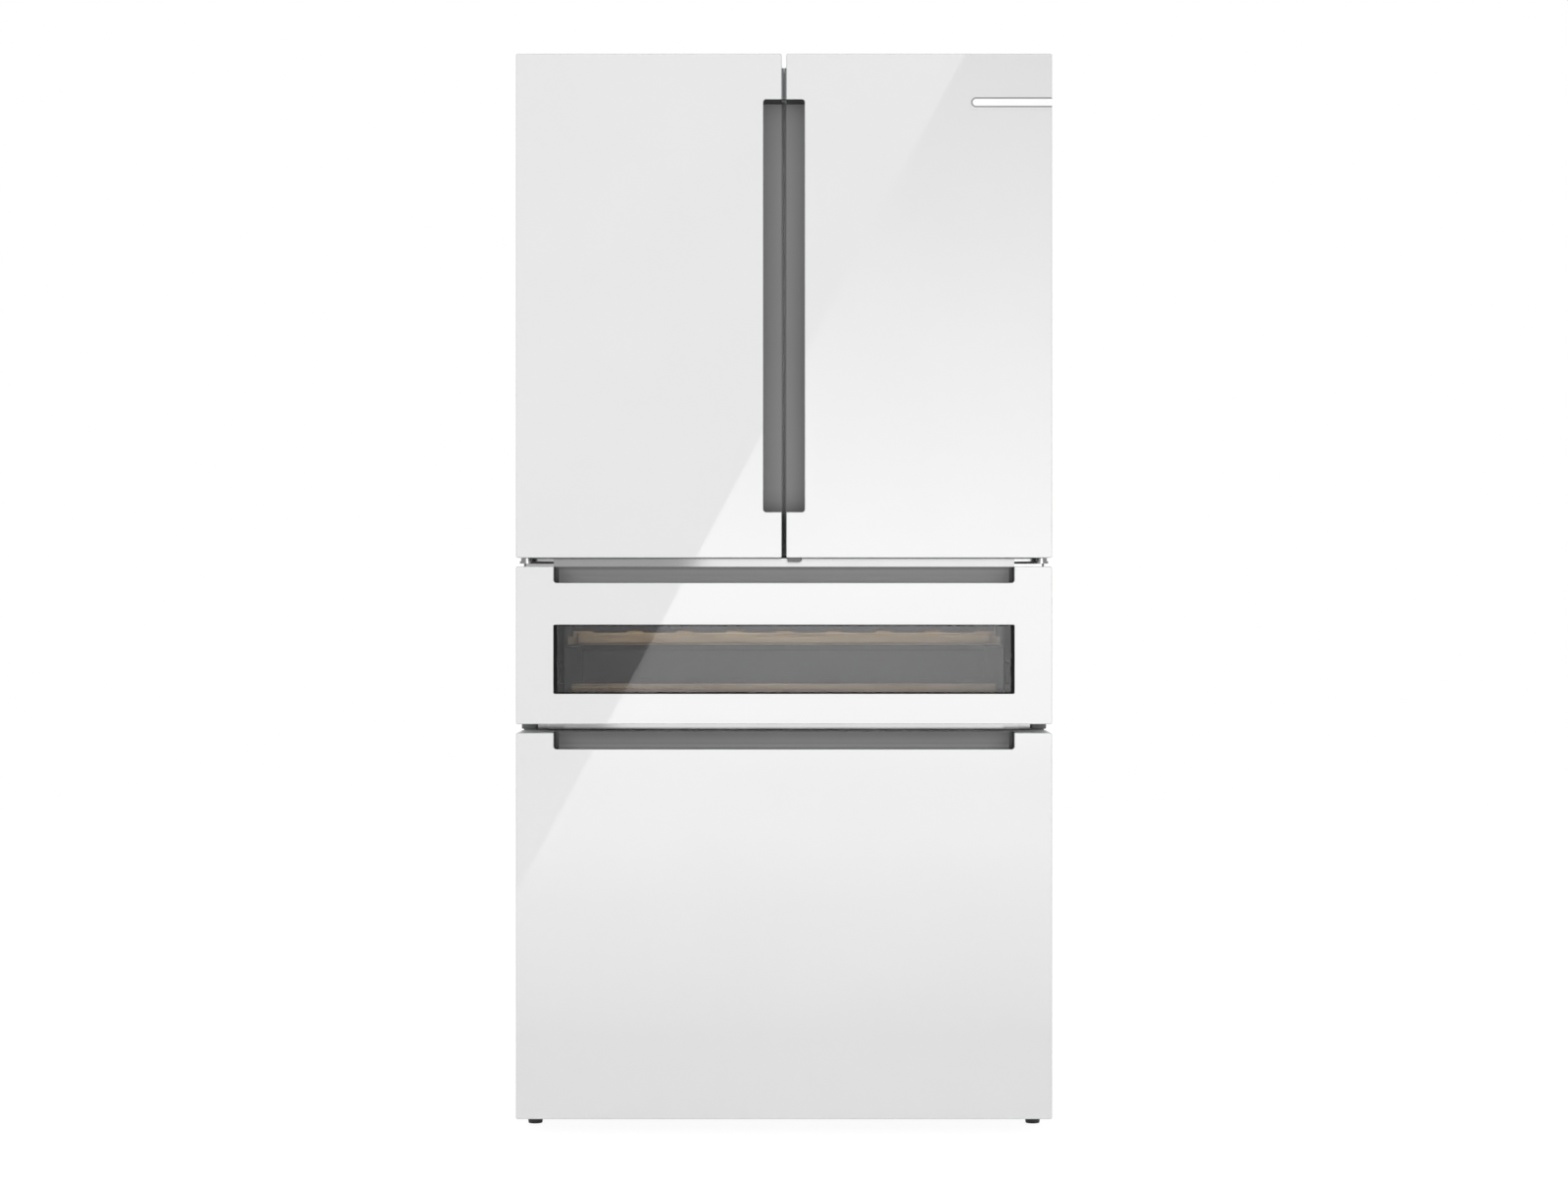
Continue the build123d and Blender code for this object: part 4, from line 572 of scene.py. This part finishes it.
def rounded_loop(low, high, radius):
    """Quarter circles at four corner centres: centre + radius * (cos a, sin a). Returns points and outward."""
    inner_low, inner_high = np.add(low, radius), np.subtract(high, radius)
    corner_x = np.array([inner_high[0], inner_low[0], inner_low[0], inner_high[0]])
    corner_z = np.array([inner_high[1], inner_high[1], inner_low[1], inner_low[1]])
    angle = np.arange(4)[:, None] * np.pi / 2 + np.linspace(0, np.pi / 2, CORNER_STEPS)
    outward = np.stack([np.cos(angle), np.sin(angle)], axis=-1)
    points = np.stack([corner_x, corner_z], axis=-1)[:, None, :] + radius * outward
    return points.reshape(-1, 2), outward.reshape(-1, 2)


def grid_faces(rows, columns, close_rows=True):
    """Quads between neighbours of a grid of points. Columns close into a ring, and rows do if asked."""
    row = np.arange(rows if close_rows else rows - 1)[:, None]
    column = np.arange(columns)[None, :]
    next_row, next_column = (row + 1) % rows, (column + 1) % columns
    corners = [row * columns + column, next_row * columns + column,
               next_row * columns + next_column, row * columns + next_column]
    return np.stack(np.broadcast_arrays(*corners), axis=-1).reshape(-1, 4)


print("points on a loop:", 4 * CORNER_STEPS)

# %% [markdown]
# Every new piece ends the same way: its arrays go into a mesh, poles and seams are welded, faces are turned
# outwards, and the piece gets its material and is told which body carries it.

# %% From arrays to a piece that rides on a body
WELD = 0.001 * MM


def new_piece(name, points, faces, made, body):
    """Puts arrays of points and faces into a mesh, welded at its poles, smooth shaded, riding on a body."""
    mesh = bpy.data.meshes.new(name)
    mesh.from_pydata(points.reshape(-1, 3).tolist(), [], faces.tolist())
    welded = bmesh.new()
    welded.from_mesh(mesh)
    bmesh.ops.remove_doubles(welded, verts=welded.verts, dist=WELD)
    bmesh.ops.recalc_face_normals(welded, faces=welded.faces)
    welded.to_mesh(mesh)
    welded.free()
    mesh.polygons.foreach_set("use_smooth", np.ones(len(mesh.polygons), bool))
    mesh.update()
    mesh.materials.append(made)
    piece = bpy.data.objects.new(name, mesh)
    bpy.context.collection.objects.link(piece)
    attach(piece, body)
    return piece


print("points nearer than", round(WELD / MM, 3), "mm are welded")

# %% [markdown]
# Each front closes on a magnetic seal. On the real one a soft extrusion is welded at its corners: a foot that
# snaps into the lining, a bellows that lets the seal follow the cabinet, and a flat pocket for the magnet
# strip. The profile is a closed line of points, and each point of the path carries a copy of it.

# %% Magnetic seals
SEAL_WIDTH = 16 * MM
SEAL_CORNER = 12 * MM
SEAL_EDGE = 0.6 * MM
BELLOWS_FOLDS = 2
BELLOWS_START, BELLOWS_LENGTH = 0.12, 0.6
FULL_SHARE, FOLD_SHARE = 0.96, 0.30
PROFILE_STEPS = 24


def seal_profile(depth):
    """Half width along the depth t: wide at the foot and the magnet pocket, 1 - cos waves between them."""
    t = np.linspace(0, 1, PROFILE_STEPS)
    fold = np.clip((t - BELLOWS_START) / BELLOWS_LENGTH, 0, 1)
    wave = (1 - np.cos(2 * np.pi * BELLOWS_FOLDS * fold)) / 2
    half = SEAL_WIDTH / 2 * (FULL_SHARE - FOLD_SHARE * wave)
    half[[0, -1]] -= SEAL_EDGE
    across = np.concatenate([half, -half[::-1]])
    along = np.concatenate([t, t[::-1]]) * depth
    return across, along


def magnetic_seal(node, body):
    """Each point of the loop carries the profile: path + (across - half width) * outward, at depth along."""
    low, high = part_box(node)
    path, outward = rounded_loop((low.x, low.z), (high.x, high.z), SEAL_CORNER)
    across, along = seal_profile(high.y - low.y)
    reach = (across - SEAL_WIDTH / 2)[None, :, None] * outward[:, None, :]
    flat = path[:, None, :] + reach
    depth = np.broadcast_to(low.y + along, flat.shape[:2])
    points = np.stack([flat[..., 0], depth, flat[..., 1]], axis=-1)
    faces = grid_faces(*flat.shape[:2])
    piece = new_piece(node + "_bellows", points, faces, seal_vinyl, body)
    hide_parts(node)
    return piece


seal_vinyl = plain_finish("soft_grey_seal_vinyl", ("#B2B4B5", "#BABCBD"), drift_mm=25, roughness=(0.5, 0.62),
                          relief_mm=1.2, depth_mm=0.06)
seals = [magnetic_seal("left_door_gasket", "left_door"), magnetic_seal("right_door_gasket", "right_door"),
         magnetic_seal("wine_gasket", "wine_drawer"), magnetic_seal("freezer_gasket", "freezer_drawer")]
print("seals:", len(seals), "with", sum(len(seal.data.polygons) for seal in seals), "faces")

# %% [markdown]
# The wine window is held by a matt black glazing bead, wider at the sides than above and below. Two rounded
# loops give its outer and its inner edge; the points between them rise in a low dome. It could be a bevelled
# curve, but a bevel has one width all round.

# %% Glazing bead
BEAD_OUTER = ((0.2, 0.2), (0.2, 0.2))
BEAD_INNER = ((6.2, 2.8), (6.2, 2.0))
BEAD_CORNER = 1.5 * MM
BEAD_RISE = 0.6 * MM
BEAD_SINK = 0.1 * MM
BEAD_STEPS = 9


def glazing_bead(node, body):
    """From the outer to the inner loop, at a share t, the height is sin(pi t) ** 0.5, on a flat underside."""
    low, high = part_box(node)
    edges = []
    for (left, under), (right, over) in (BEAD_OUTER, BEAD_INNER):
        corner_low = (low.x + left * MM, low.z + under * MM)
        corner_high = (high.x - right * MM, high.z - over * MM)
        edges.append(rounded_loop(corner_low, corner_high, BEAD_CORNER)[0])
    t = np.concatenate([[0.0], np.linspace(0, 1, BEAD_STEPS), [1.0]])
    rise = BEAD_RISE * np.sqrt(np.clip(np.sin(np.pi * t), 0, 1))
    rise[[0, -1]] = -BEAD_SINK
    flat = edges[0] + t[:, None, None] * (edges[1] - edges[0])
    depth = np.broadcast_to(low.y - rise[:, None], flat.shape[:2])
    points = np.stack([flat[..., 0], depth, flat[..., 1]], axis=-1)
    faces = grid_faces(*flat.shape[:2])
    return new_piece("wine_glazing_bead", points, faces, bead_rubber, body)


bead_rubber = plain_finish("matt_black_glazing_rubber", ("#0D0D0D", "#131313"), drift_mm=30,
                           roughness=(0.65, 0.8), relief_mm=2, depth_mm=0.05, Specular_IOR_Level=0.08)
bead = glazing_bead("wine_window", "wine_drawer")
print("glazing bead:", len(bead.data.polygons), "faces")

# %% [markdown]
# Small moulded blocks sit in the gaps between the fronts: a closing tab under the right door's inner corner,
# and a stop at each end of the lower gap, beside a thin plate that carries the rail's polish on to it. A
# superellipsoid is a ball that leans towards a box: the smaller its exponent, the tighter its rounded edges.

# %% A ball that leans towards a box
BLOCK_EXPONENT = 0.22
BLOCK_STEPS = (17, 32)


def lean(turn):
    """Signed power of a sine or cosine v, rounded so that its zeros are clean: sign(v) * |v| ** exponent."""
    clean = np.round(turn, 9)
    return np.sign(clean) * np.abs(clean) ** BLOCK_EXPONENT


def moulded_block(name, middle_mm, half_mm, made, body):
    """Superellipsoid: x = a c(v) c(u), y = b c(v) s(u), z = h s(v), with c and s leaned cosine and sine."""
    v = np.linspace(-np.pi / 2, np.pi / 2, BLOCK_STEPS[0])[:, None]
    u = np.linspace(0, 2 * np.pi, BLOCK_STEPS[1], endpoint=False)[None, :]
    wide = lean(np.cos(v))
    axes = np.broadcast_arrays(wide * lean(np.cos(u)), wide * lean(np.sin(u)), lean(np.sin(v)))
    ball = np.stack(axes, axis=-1)
    points = (np.array(middle_mm) + np.array(half_mm) * ball) * MM
    return new_piece(name, points, grid_faces(*BLOCK_STEPS, close_rows=False), made, body)


print("points on a block:", BLOCK_STEPS[0] * BLOCK_STEPS[1])

# %% [markdown]
# The tab and the stops are moulded in graphite plastic, which looks dull and dark in the shade of the gaps.
# Each block is given by its middle and its half sizes in millimetres; the left ones mirror the right ones.

# %% Tab, stops and rail plates in the gaps
TAB_MIDDLE, TAB_HALF = (17.8, -345, 975.2), (12.0, 9, 3.0)
STOP_MIDDLE, STOP_HALF = np.array([439.4, -250.8, 689.5]), (12.7, 7.6, 5.6)
PLATE_MIDDLE, PLATE_HALF = np.array([416.5, -243.8, 689.5]), (10.0, 0.5, 7.2)

tab_plastic = plain_finish("moulded_graphite_plastic", ("#5C5C5C", "#646464"), drift_mm=50,
                           roughness=(0.45, 0.6), relief_mm=1.5, depth_mm=0.08)
blocks = [moulded_block("right_door_closing_tab", TAB_MIDDLE, TAB_HALF, tab_plastic, "right_door")]
for side, mirror in (("left", (-1, 1, 1)), ("right", (1, 1, 1))):
    blocks.append(moulded_block(side + "_rail_stop", STOP_MIDDLE * mirror, STOP_HALF, tab_plastic, "cabinet"))
    blocks.append(moulded_block(side + "_rail_end", PLATE_MIDDLE * mirror, PLATE_HALF, rail_steel, "cabinet"))
print("blocks:", [block.name for block in blocks])

# %% [markdown]
# A slit of 8 mm stays free between the doors, so that either can swing alone. Each door brings half of what
# closes it to the eye: a soft lip behind the grips, and a firm one above them, nearer to the front. A lip
# could be an extruded curve. As a tapered ring of points, carried straight up and drawn together at both
# ends, it is one array.

# %% Lips in the slit between the doors
LIP_ROOT, LIP_TIP = 4.6 * MM, 0.2 * MM
LIP_HALF_ROOT, LIP_HALF_TIP = 2.2 * MM, 0.5 * MM
LIP_STEPS = 24
LIP_END = 1.0 * MM
LIP_SPREAD = np.array([0.0, 0.7, 1.0, 1.0, 0.7, 0.0])


def door_lip(name, side, depth, bottom, top, made, slot):
    """At an angle u, s = (1 - cos u) / 2 leads x from root to tip; half thickness times sin u leads y."""
    turn = np.linspace(0, 2 * np.pi, LIP_STEPS, endpoint=False)
    share = (1 - np.cos(turn)) / 2
    ring_x = side * (LIP_ROOT + share * (LIP_TIP - LIP_ROOT))
    ring_y = depth + np.sin(turn) * (LIP_HALF_ROOT + share * (LIP_HALF_TIP - LIP_HALF_ROOT))
    ring = np.stack([ring_x, ring_y], axis=-1)
    heights = np.array([bottom, bottom, bottom + LIP_END, top - LIP_END, top, top])
    flat = ring.mean(axis=0) + LIP_SPREAD[:, None, None] * (ring - ring.mean(axis=0))
    up = np.broadcast_to(heights[:, None, None], flat.shape[:2] + (1,))
    points = np.concatenate([flat, up], axis=-1)
    body = "left_door" if side < 0 else "right_door"
    return new_piece(name, points, grid_faces(*flat.shape[:2], close_rows=False), made, body)


print("points on a lip:", LIP_STEPS * len(LIP_SPREAD))

# %% [markdown]
# The soft lip is dark vinyl, dull like the seals; the firm one is moulded in the grey plastic of the hinge
# covers. Their places follow the grips: the soft lip stands behind them, and the firm one starts where
# they end.

# %% Soft and firm lips
SOFT_BEHIND, SOFT_CLEAR = 5 * MM, 4 * MM
FIRM_INSET, FIRM_LENGTH = 13 * MM, 53 * MM

lip_vinyl = plain_finish("soft_dark_lip_vinyl", ("#727272", "#7A7A7A"), drift_mm=25, roughness=(0.55, 0.7),
                         relief_mm=1.2, depth_mm=0.05)
soft_lip = (grip_high.y + SOFT_BEHIND, DOOR_EDGE_Z + SOFT_CLEAR, grip_high.z, lip_vinyl, "gasket_rubber")
firm_lip = (grip_low.y + FIRM_INSET, grip_high.z, grip_high.z + FIRM_LENGTH, grey_plastic, "grey_plastic")
lips = [door_lip("left_soft_lip", -1, *soft_lip), door_lip("right_soft_lip", 1, *soft_lip),
        door_lip("left_firm_lip", -1, *firm_lip), door_lip("right_firm_lip", 1, *firm_lip)]
print("lips:", [lip.name for lip in lips])

# %% [markdown]
# The back panel and the machine cover are screwed to the cabinet with pan-head screws. One head is a profile
# turned round its axis: a six-lobed recess, a low dome and a short skirt. The profile is worked out once
# and repeated over all places by adding two arrays, so that a row of screws costs no loop.

# %% One screw head, repeated
HEAD_RADIUS = 5.0 * MM
HEAD_HEIGHT = 2.2 * MM
HEAD_RINGS = np.array([0.0, 0.22, 0.34, 0.42, 0.62, 0.82, 0.94, 1.0, 1.0, 0.0])
HEAD_RISE = np.array([0.45, 0.45, 0.45, 0.97, 0.90, 0.74, 0.55, 0.38, -0.05, -0.05])
RECESS_LOBES = 6
RECESS_WAVE = np.array([0, 0, 0.14, 0.14, 0, 0, 0, 0, 0, 0])
HEAD_STEPS = 36


def screw_heads(name, places, body):
    """Rings of radius r (1 + w cos 6a) at heights h, turned about Y, added to each of an array of places."""
    turn = np.linspace(0, 2 * np.pi, HEAD_STEPS, endpoint=False)
    radius = HEAD_RADIUS * HEAD_RINGS[:, None] * (1 + RECESS_WAVE[:, None] * np.cos(RECESS_LOBES * turn))
    rise = np.broadcast_to(HEAD_HEIGHT * HEAD_RISE[:, None], radius.shape)
    head = np.stack([radius * np.cos(turn), rise, radius * np.sin(turn)], axis=-1)
    points = places[:, None, None, :] + head
    one = grid_faces(*radius.shape, close_rows=False)
    faces = (np.arange(len(places))[:, None, None] * radius.size + one).reshape(-1, 4)
    return new_piece(name, points, faces, screw_zinc, body)


screw_zinc = plain_finish("bright_zinc_screw", ("#9EA0A3", "#B2B4B6"), drift_mm=3, roughness=(0.22, 0.32),
                          relief_mm=1, depth_mm=0.02, Metallic=1.0)
print("points on a head:", HEAD_STEPS * len(HEAD_RINGS))

# %% [markdown]
# The panel has a row of screws down each side, and the machine cover a row along its top and its bottom. Rows
# are the crossings of two lists of coordinates, which numpy's meshgrid gives at once.

# %% Screws on the back
SCREW_INSET = 18 * MM
SCREWS_DOWN, SCREWS_ACROSS = 5, 4


def inset(low, high, count):
    """Coordinates spread evenly between two edges, each end moved in."""
    return np.linspace(low + SCREW_INSET, high - SCREW_INSET, count)


def crossings(across, depth, heights):
    """Every pair of an X and a Z, at one Y."""
    return np.stack(np.meshgrid(across, depth, heights, indexing="ij"), axis=-1).reshape(-1, 3)


panel_low, panel_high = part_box("back_panel")
cover_low, cover_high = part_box("machine_cover")
side_rows = crossings(inset(panel_low.x, panel_high.x, 2), cover_high.y,
                      inset(panel_low.z, panel_high.z, SCREWS_DOWN))
level_rows = crossings(inset(panel_low.x, panel_high.x, SCREWS_ACROSS), cover_high.y,
                       inset(cover_low.z, cover_high.z, 2))
screw_heads("back_panel_screws", side_rows, "cabinet")
screw_heads("machine_cover_screws", level_rows, "cabinet")
print("screws:", len(side_rows) + len(level_rows))

# %% [markdown]
# The studio is white all round. Rays that the camera, a mirror or a glass sends out see plain white, and
# the light that falls on the object is softer and lower, so that white paint keeps its shade.

# %% Studio world
AMBIENT = 0.5


def seen_directly(tree):
    """1 for a camera, glossy or transmission ray, else 0."""
    path = add(tree, "LightPath")
    mirror = add(tree, "Math", [(path.outputs["Is Camera Ray"], 0), (path.outputs["Is Glossy Ray"], 1)],
                 operation="MAXIMUM")
    return add(tree, "Math", [(mirror.outputs[0], 0), (path.outputs["Is Transmission Ray"], 1)],
               operation="MAXIMUM").outputs[0]


studio = bpy.data.worlds.new("studio_white")
studio.use_nodes = True
strength = add(studio.node_tree, "MapRange", [(seen_directly(studio.node_tree), "Value")],
               To_Min=AMBIENT, To_Max=1.0)
backdrop = studio.node_tree.nodes["Background"]
backdrop.inputs["Color"].default_value = (1.0, 1.0, 1.0, 1.0)
studio.node_tree.links.new(strength.outputs[0], backdrop.inputs["Strength"])
bpy.context.scene.world = studio
print("ambient light:", AMBIENT)

# %% [markdown]
# The floor works the same way: it is a pale matt floor, and mostly white to the camera, with the object's own
# shadow left in. It rides on no body of the object.

# %% Studio floor
FLOOR_SIZE = 14.0
FLOOR_Z = 0.0
FLOOR_GLOW = 1.13
SHADOW_SHARE = 0.18


def flat_sheet(name, corners, made):
    """One quad through four corners, linked to the scene."""
    mesh = bpy.data.meshes.new(name)
    mesh.from_pydata(corners, [], [(0, 1, 2, 3)])
    mesh.materials.append(made)
    sheet = bpy.data.objects.new(name, mesh)
    bpy.context.collection.objects.link(sheet)
    return sheet


floor_paint, floor_tree, floor_shader = start_material("pale_studio_floor", "#F2F2F2", Roughness=0.9)
glow = add(floor_tree, "Emission", Strength=FLOOR_GLOW)
share = add(floor_tree, "Math", [(seen_directly(floor_tree), 0), (1.0 - SHADOW_SHARE, 1)], operation="MULTIPLY")
both = add(floor_tree, "MixShader", [(share.outputs[0], 0), (floor_shader.outputs[0], 1), (glow.outputs[0], 2)])
floor_tree.links.new(both.outputs[0], floor_tree.nodes["Material Output"].inputs["Surface"])

half = FLOOR_SIZE / 2
floor = flat_sheet("studio_floor", [(-half, -half, FLOOR_Z), (half, -half, FLOOR_Z), (half, half, FLOOR_Z),
                                    (-half, half, FLOOR_Z)], floor_paint)
print("floor:", FLOOR_SIZE, "m")

# %% [markdown]
# Glossy glass shows what stands in front of it. Photographers put a large white card there and tilt it, so
# that its slanted edge runs across the fronts and tells the eye that they are glass. The card here stands
# 1.2 m in front of the glass, so a point on the glass meets the card 1.24 times as far from the camera's axis.

# %% Where the card's slanted edge runs
CARD_DISTANCE = 1.2
CARD_SPREAD = 1 + CARD_DISTANCE / CAMERA_DISTANCE
EDGE_TOP = (0.3065, 1.829)
EDGE_BOTTOM = (-0.451, 0.413)


def on_card(x, z):
    """A glass point seen from the camera meets the card at the same side of the axis, spread outwards."""
    return x * CARD_SPREAD, CAMERA_HEIGHT + (z - CAMERA_HEIGHT) * CARD_SPREAD


top_x, top_z = on_card(*EDGE_TOP)
bottom_x, bottom_z = on_card(*EDGE_BOTTOM)
print("card edge slope:", round((top_x - bottom_x) / (top_z - bottom_z), 3))

# %% [markdown]
# Left of its edge the card glows evenly. Right of it the glow is graded by height, brightest at the height of
# the wine drawer, as a lamp behind a diffuser would make it. Each stop of the ramp is a height in metres and
# a strength there.

# %% Glow of the card
LEFT_GLOW = 2.0
RIGHT_PEAK = 5.1
GLOW_STOPS = ((0.0, 1.2), (0.13, 2.0), (0.27, 2.6), (0.41, 3.5), (0.54, 3.6), (0.66, 4.7), (0.95, 5.1),
              (1.32, 3.5), (1.60, 2.2), (2.02, 0.5))
CARD_TOP = 2.4

card_glow = bpy.data.materials.new("graded_light_card")
card_glow.use_nodes = True
card_tree = card_glow.node_tree
card_tree.nodes.clear()
card_place = add(card_tree, "TexCoord")
card_axes = add(card_tree, "SeparateXYZ", [(card_place.outputs["Object"], "Vector")])
edge_x = add(card_tree, "MapRange", [(card_axes.outputs["Z"], "Value")], clamp=False, From_Min=bottom_z,
             From_Max=top_z, To_Min=bottom_x, To_Max=top_x)
right_of = add(card_tree, "Math", [(card_axes.outputs["X"], 0), (edge_x.outputs[0], 1)],
               operation="GREATER_THAN")
height = add(card_tree, "MapRange", [(card_axes.outputs["Z"], "Value")], From_Max=CARD_TOP)
grade = add(card_tree, "ValToRGB", [(height.outputs[0], "Fac")])
while len(grade.color_ramp.elements) < len(GLOW_STOPS):
    grade.color_ramp.elements.new(1.0)
for stop, (stop_z, glow_level) in zip(grade.color_ramp.elements, GLOW_STOPS):
    stop.position = stop_z / CARD_TOP
    stop.color = (glow_level / RIGHT_PEAK,) * 3 + (1.0,)
right_glow = add(card_tree, "Math", [(grade.outputs["Color"], 0), (RIGHT_PEAK, 1)], operation="MULTIPLY")
card_level = add(card_tree, "Mix", [(right_of.outputs[0], "Factor"), (LEFT_GLOW, 2),
                                    (right_glow.outputs[0], 3)], data_type="FLOAT")
card_emission = add(card_tree, "Emission", [(card_level.outputs[0], "Strength")])
add(card_tree, "OutputMaterial", [(card_emission.outputs[0], "Surface")])
print("glow left:", LEFT_GLOW, "right, at most:", RIGHT_PEAK)

# %% [markdown]
# The card is a flat sheet that only mirror rays see. A real one would also light the object and stand in the
# camera's way; here it does neither, so the lamps alone set the light.

# %% Light card for the glass
CARD_HALF = 0.75
card_y = FRONT_Y - CARD_DISTANCE
card = flat_sheet("light_card", [(-CARD_HALF, card_y, 0.0), (CARD_HALF, card_y, 0.0),
                                 (CARD_HALF, card_y, CARD_TOP), (-CARD_HALF, card_y, CARD_TOP)], card_glow)
card.visible_camera = False
card.visible_diffuse = False
card.visible_transmission = False
card.visible_shadow = False
print("card:", 2 * CARD_HALF, "by", CARD_TOP, "m")

# %% [markdown]
# Two large soft boxes in front, left and right, light the fronts evenly, and a third hangs above for the top
# and the floor. They are hidden from mirror rays, because the card already is what the glass shows.

# %% Soft boxes
FRONT_BOX_SIZE, FRONT_BOX_WATTS = (2.0, 2.6), 55
TOP_BOX_SIZE, TOP_BOX_WATTS = (3.0, 3.0), 25
MIDDLE = (0.0, FRONT_Y, 0.9)


def area_lamp(name, place, aim, size, watts):
    """A lamp shines along its own -Z; its tilt and its turn are the angles of the line from place to aim."""
    lamp = bpy.data.lights.new(name, "AREA")
    lamp.shape = "RECTANGLE"
    lamp.size, lamp.size_y = size
    lamp.energy = watts
    holder = bpy.data.objects.new(name, lamp)
    holder.location = place
    across, forward, up = np.subtract(aim, place)
    tilt, turn = np.arctan2(np.hypot(across, forward), -up), np.arctan2(-across, forward)
    holder.rotation_euler = (tilt, 0.0, turn)
    holder.visible_camera = False
    holder.visible_glossy = False
    bpy.context.collection.objects.link(holder)


area_lamp("left_soft_box", (-2.6, -4.2, 1.35), MIDDLE, FRONT_BOX_SIZE, FRONT_BOX_WATTS)
area_lamp("right_soft_box", (2.6, -4.2, 1.35), MIDDLE, FRONT_BOX_SIZE, FRONT_BOX_WATTS)
area_lamp("top_soft_box", (0.0, -0.6, 4.2), (0.0, 0.0, 1.0), TOP_BOX_SIZE, TOP_BOX_WATTS)
print("soft boxes:", len(bpy.data.lights))

# %% [markdown]
# The refrigerator's own lamps are far weaker: one under the ceiling, a light column at each side of the
# shelves and one over the wine racks. They keep the open compartments from looking like caves.

# %% Lamps inside
CEILING_SIZE, COLUMN_SIZE, WINE_LAMP_SIZE = (0.38, 0.03), (0.012, 0.62), (0.7, 0.012)
FRIDGE_WATTS, WINE_WATTS = 0.5, 0.4
SHELF_MIDDLE = (0.0, 0.0, 1.37)

area_lamp("ceiling_lamp", (0.0, -0.0375, 1.755), (0.0, -0.0375, 1.0), CEILING_SIZE, FRIDGE_WATTS)
area_lamp("left_light_column", (-0.398, -0.17, 1.37), SHELF_MIDDLE, COLUMN_SIZE, FRIDGE_WATTS)
area_lamp("right_light_column", (0.398, -0.17, 1.37), SHELF_MIDDLE, COLUMN_SIZE, FRIDGE_WATTS)
area_lamp("wine_lamp", (0.0, -0.232, 0.934), (0.0, -0.19, 0.80), WINE_LAMP_SIZE, WINE_WATTS)
bpy.context.scene.view_settings.view_transform = "Standard"
print("lamps:", len(bpy.data.lights))
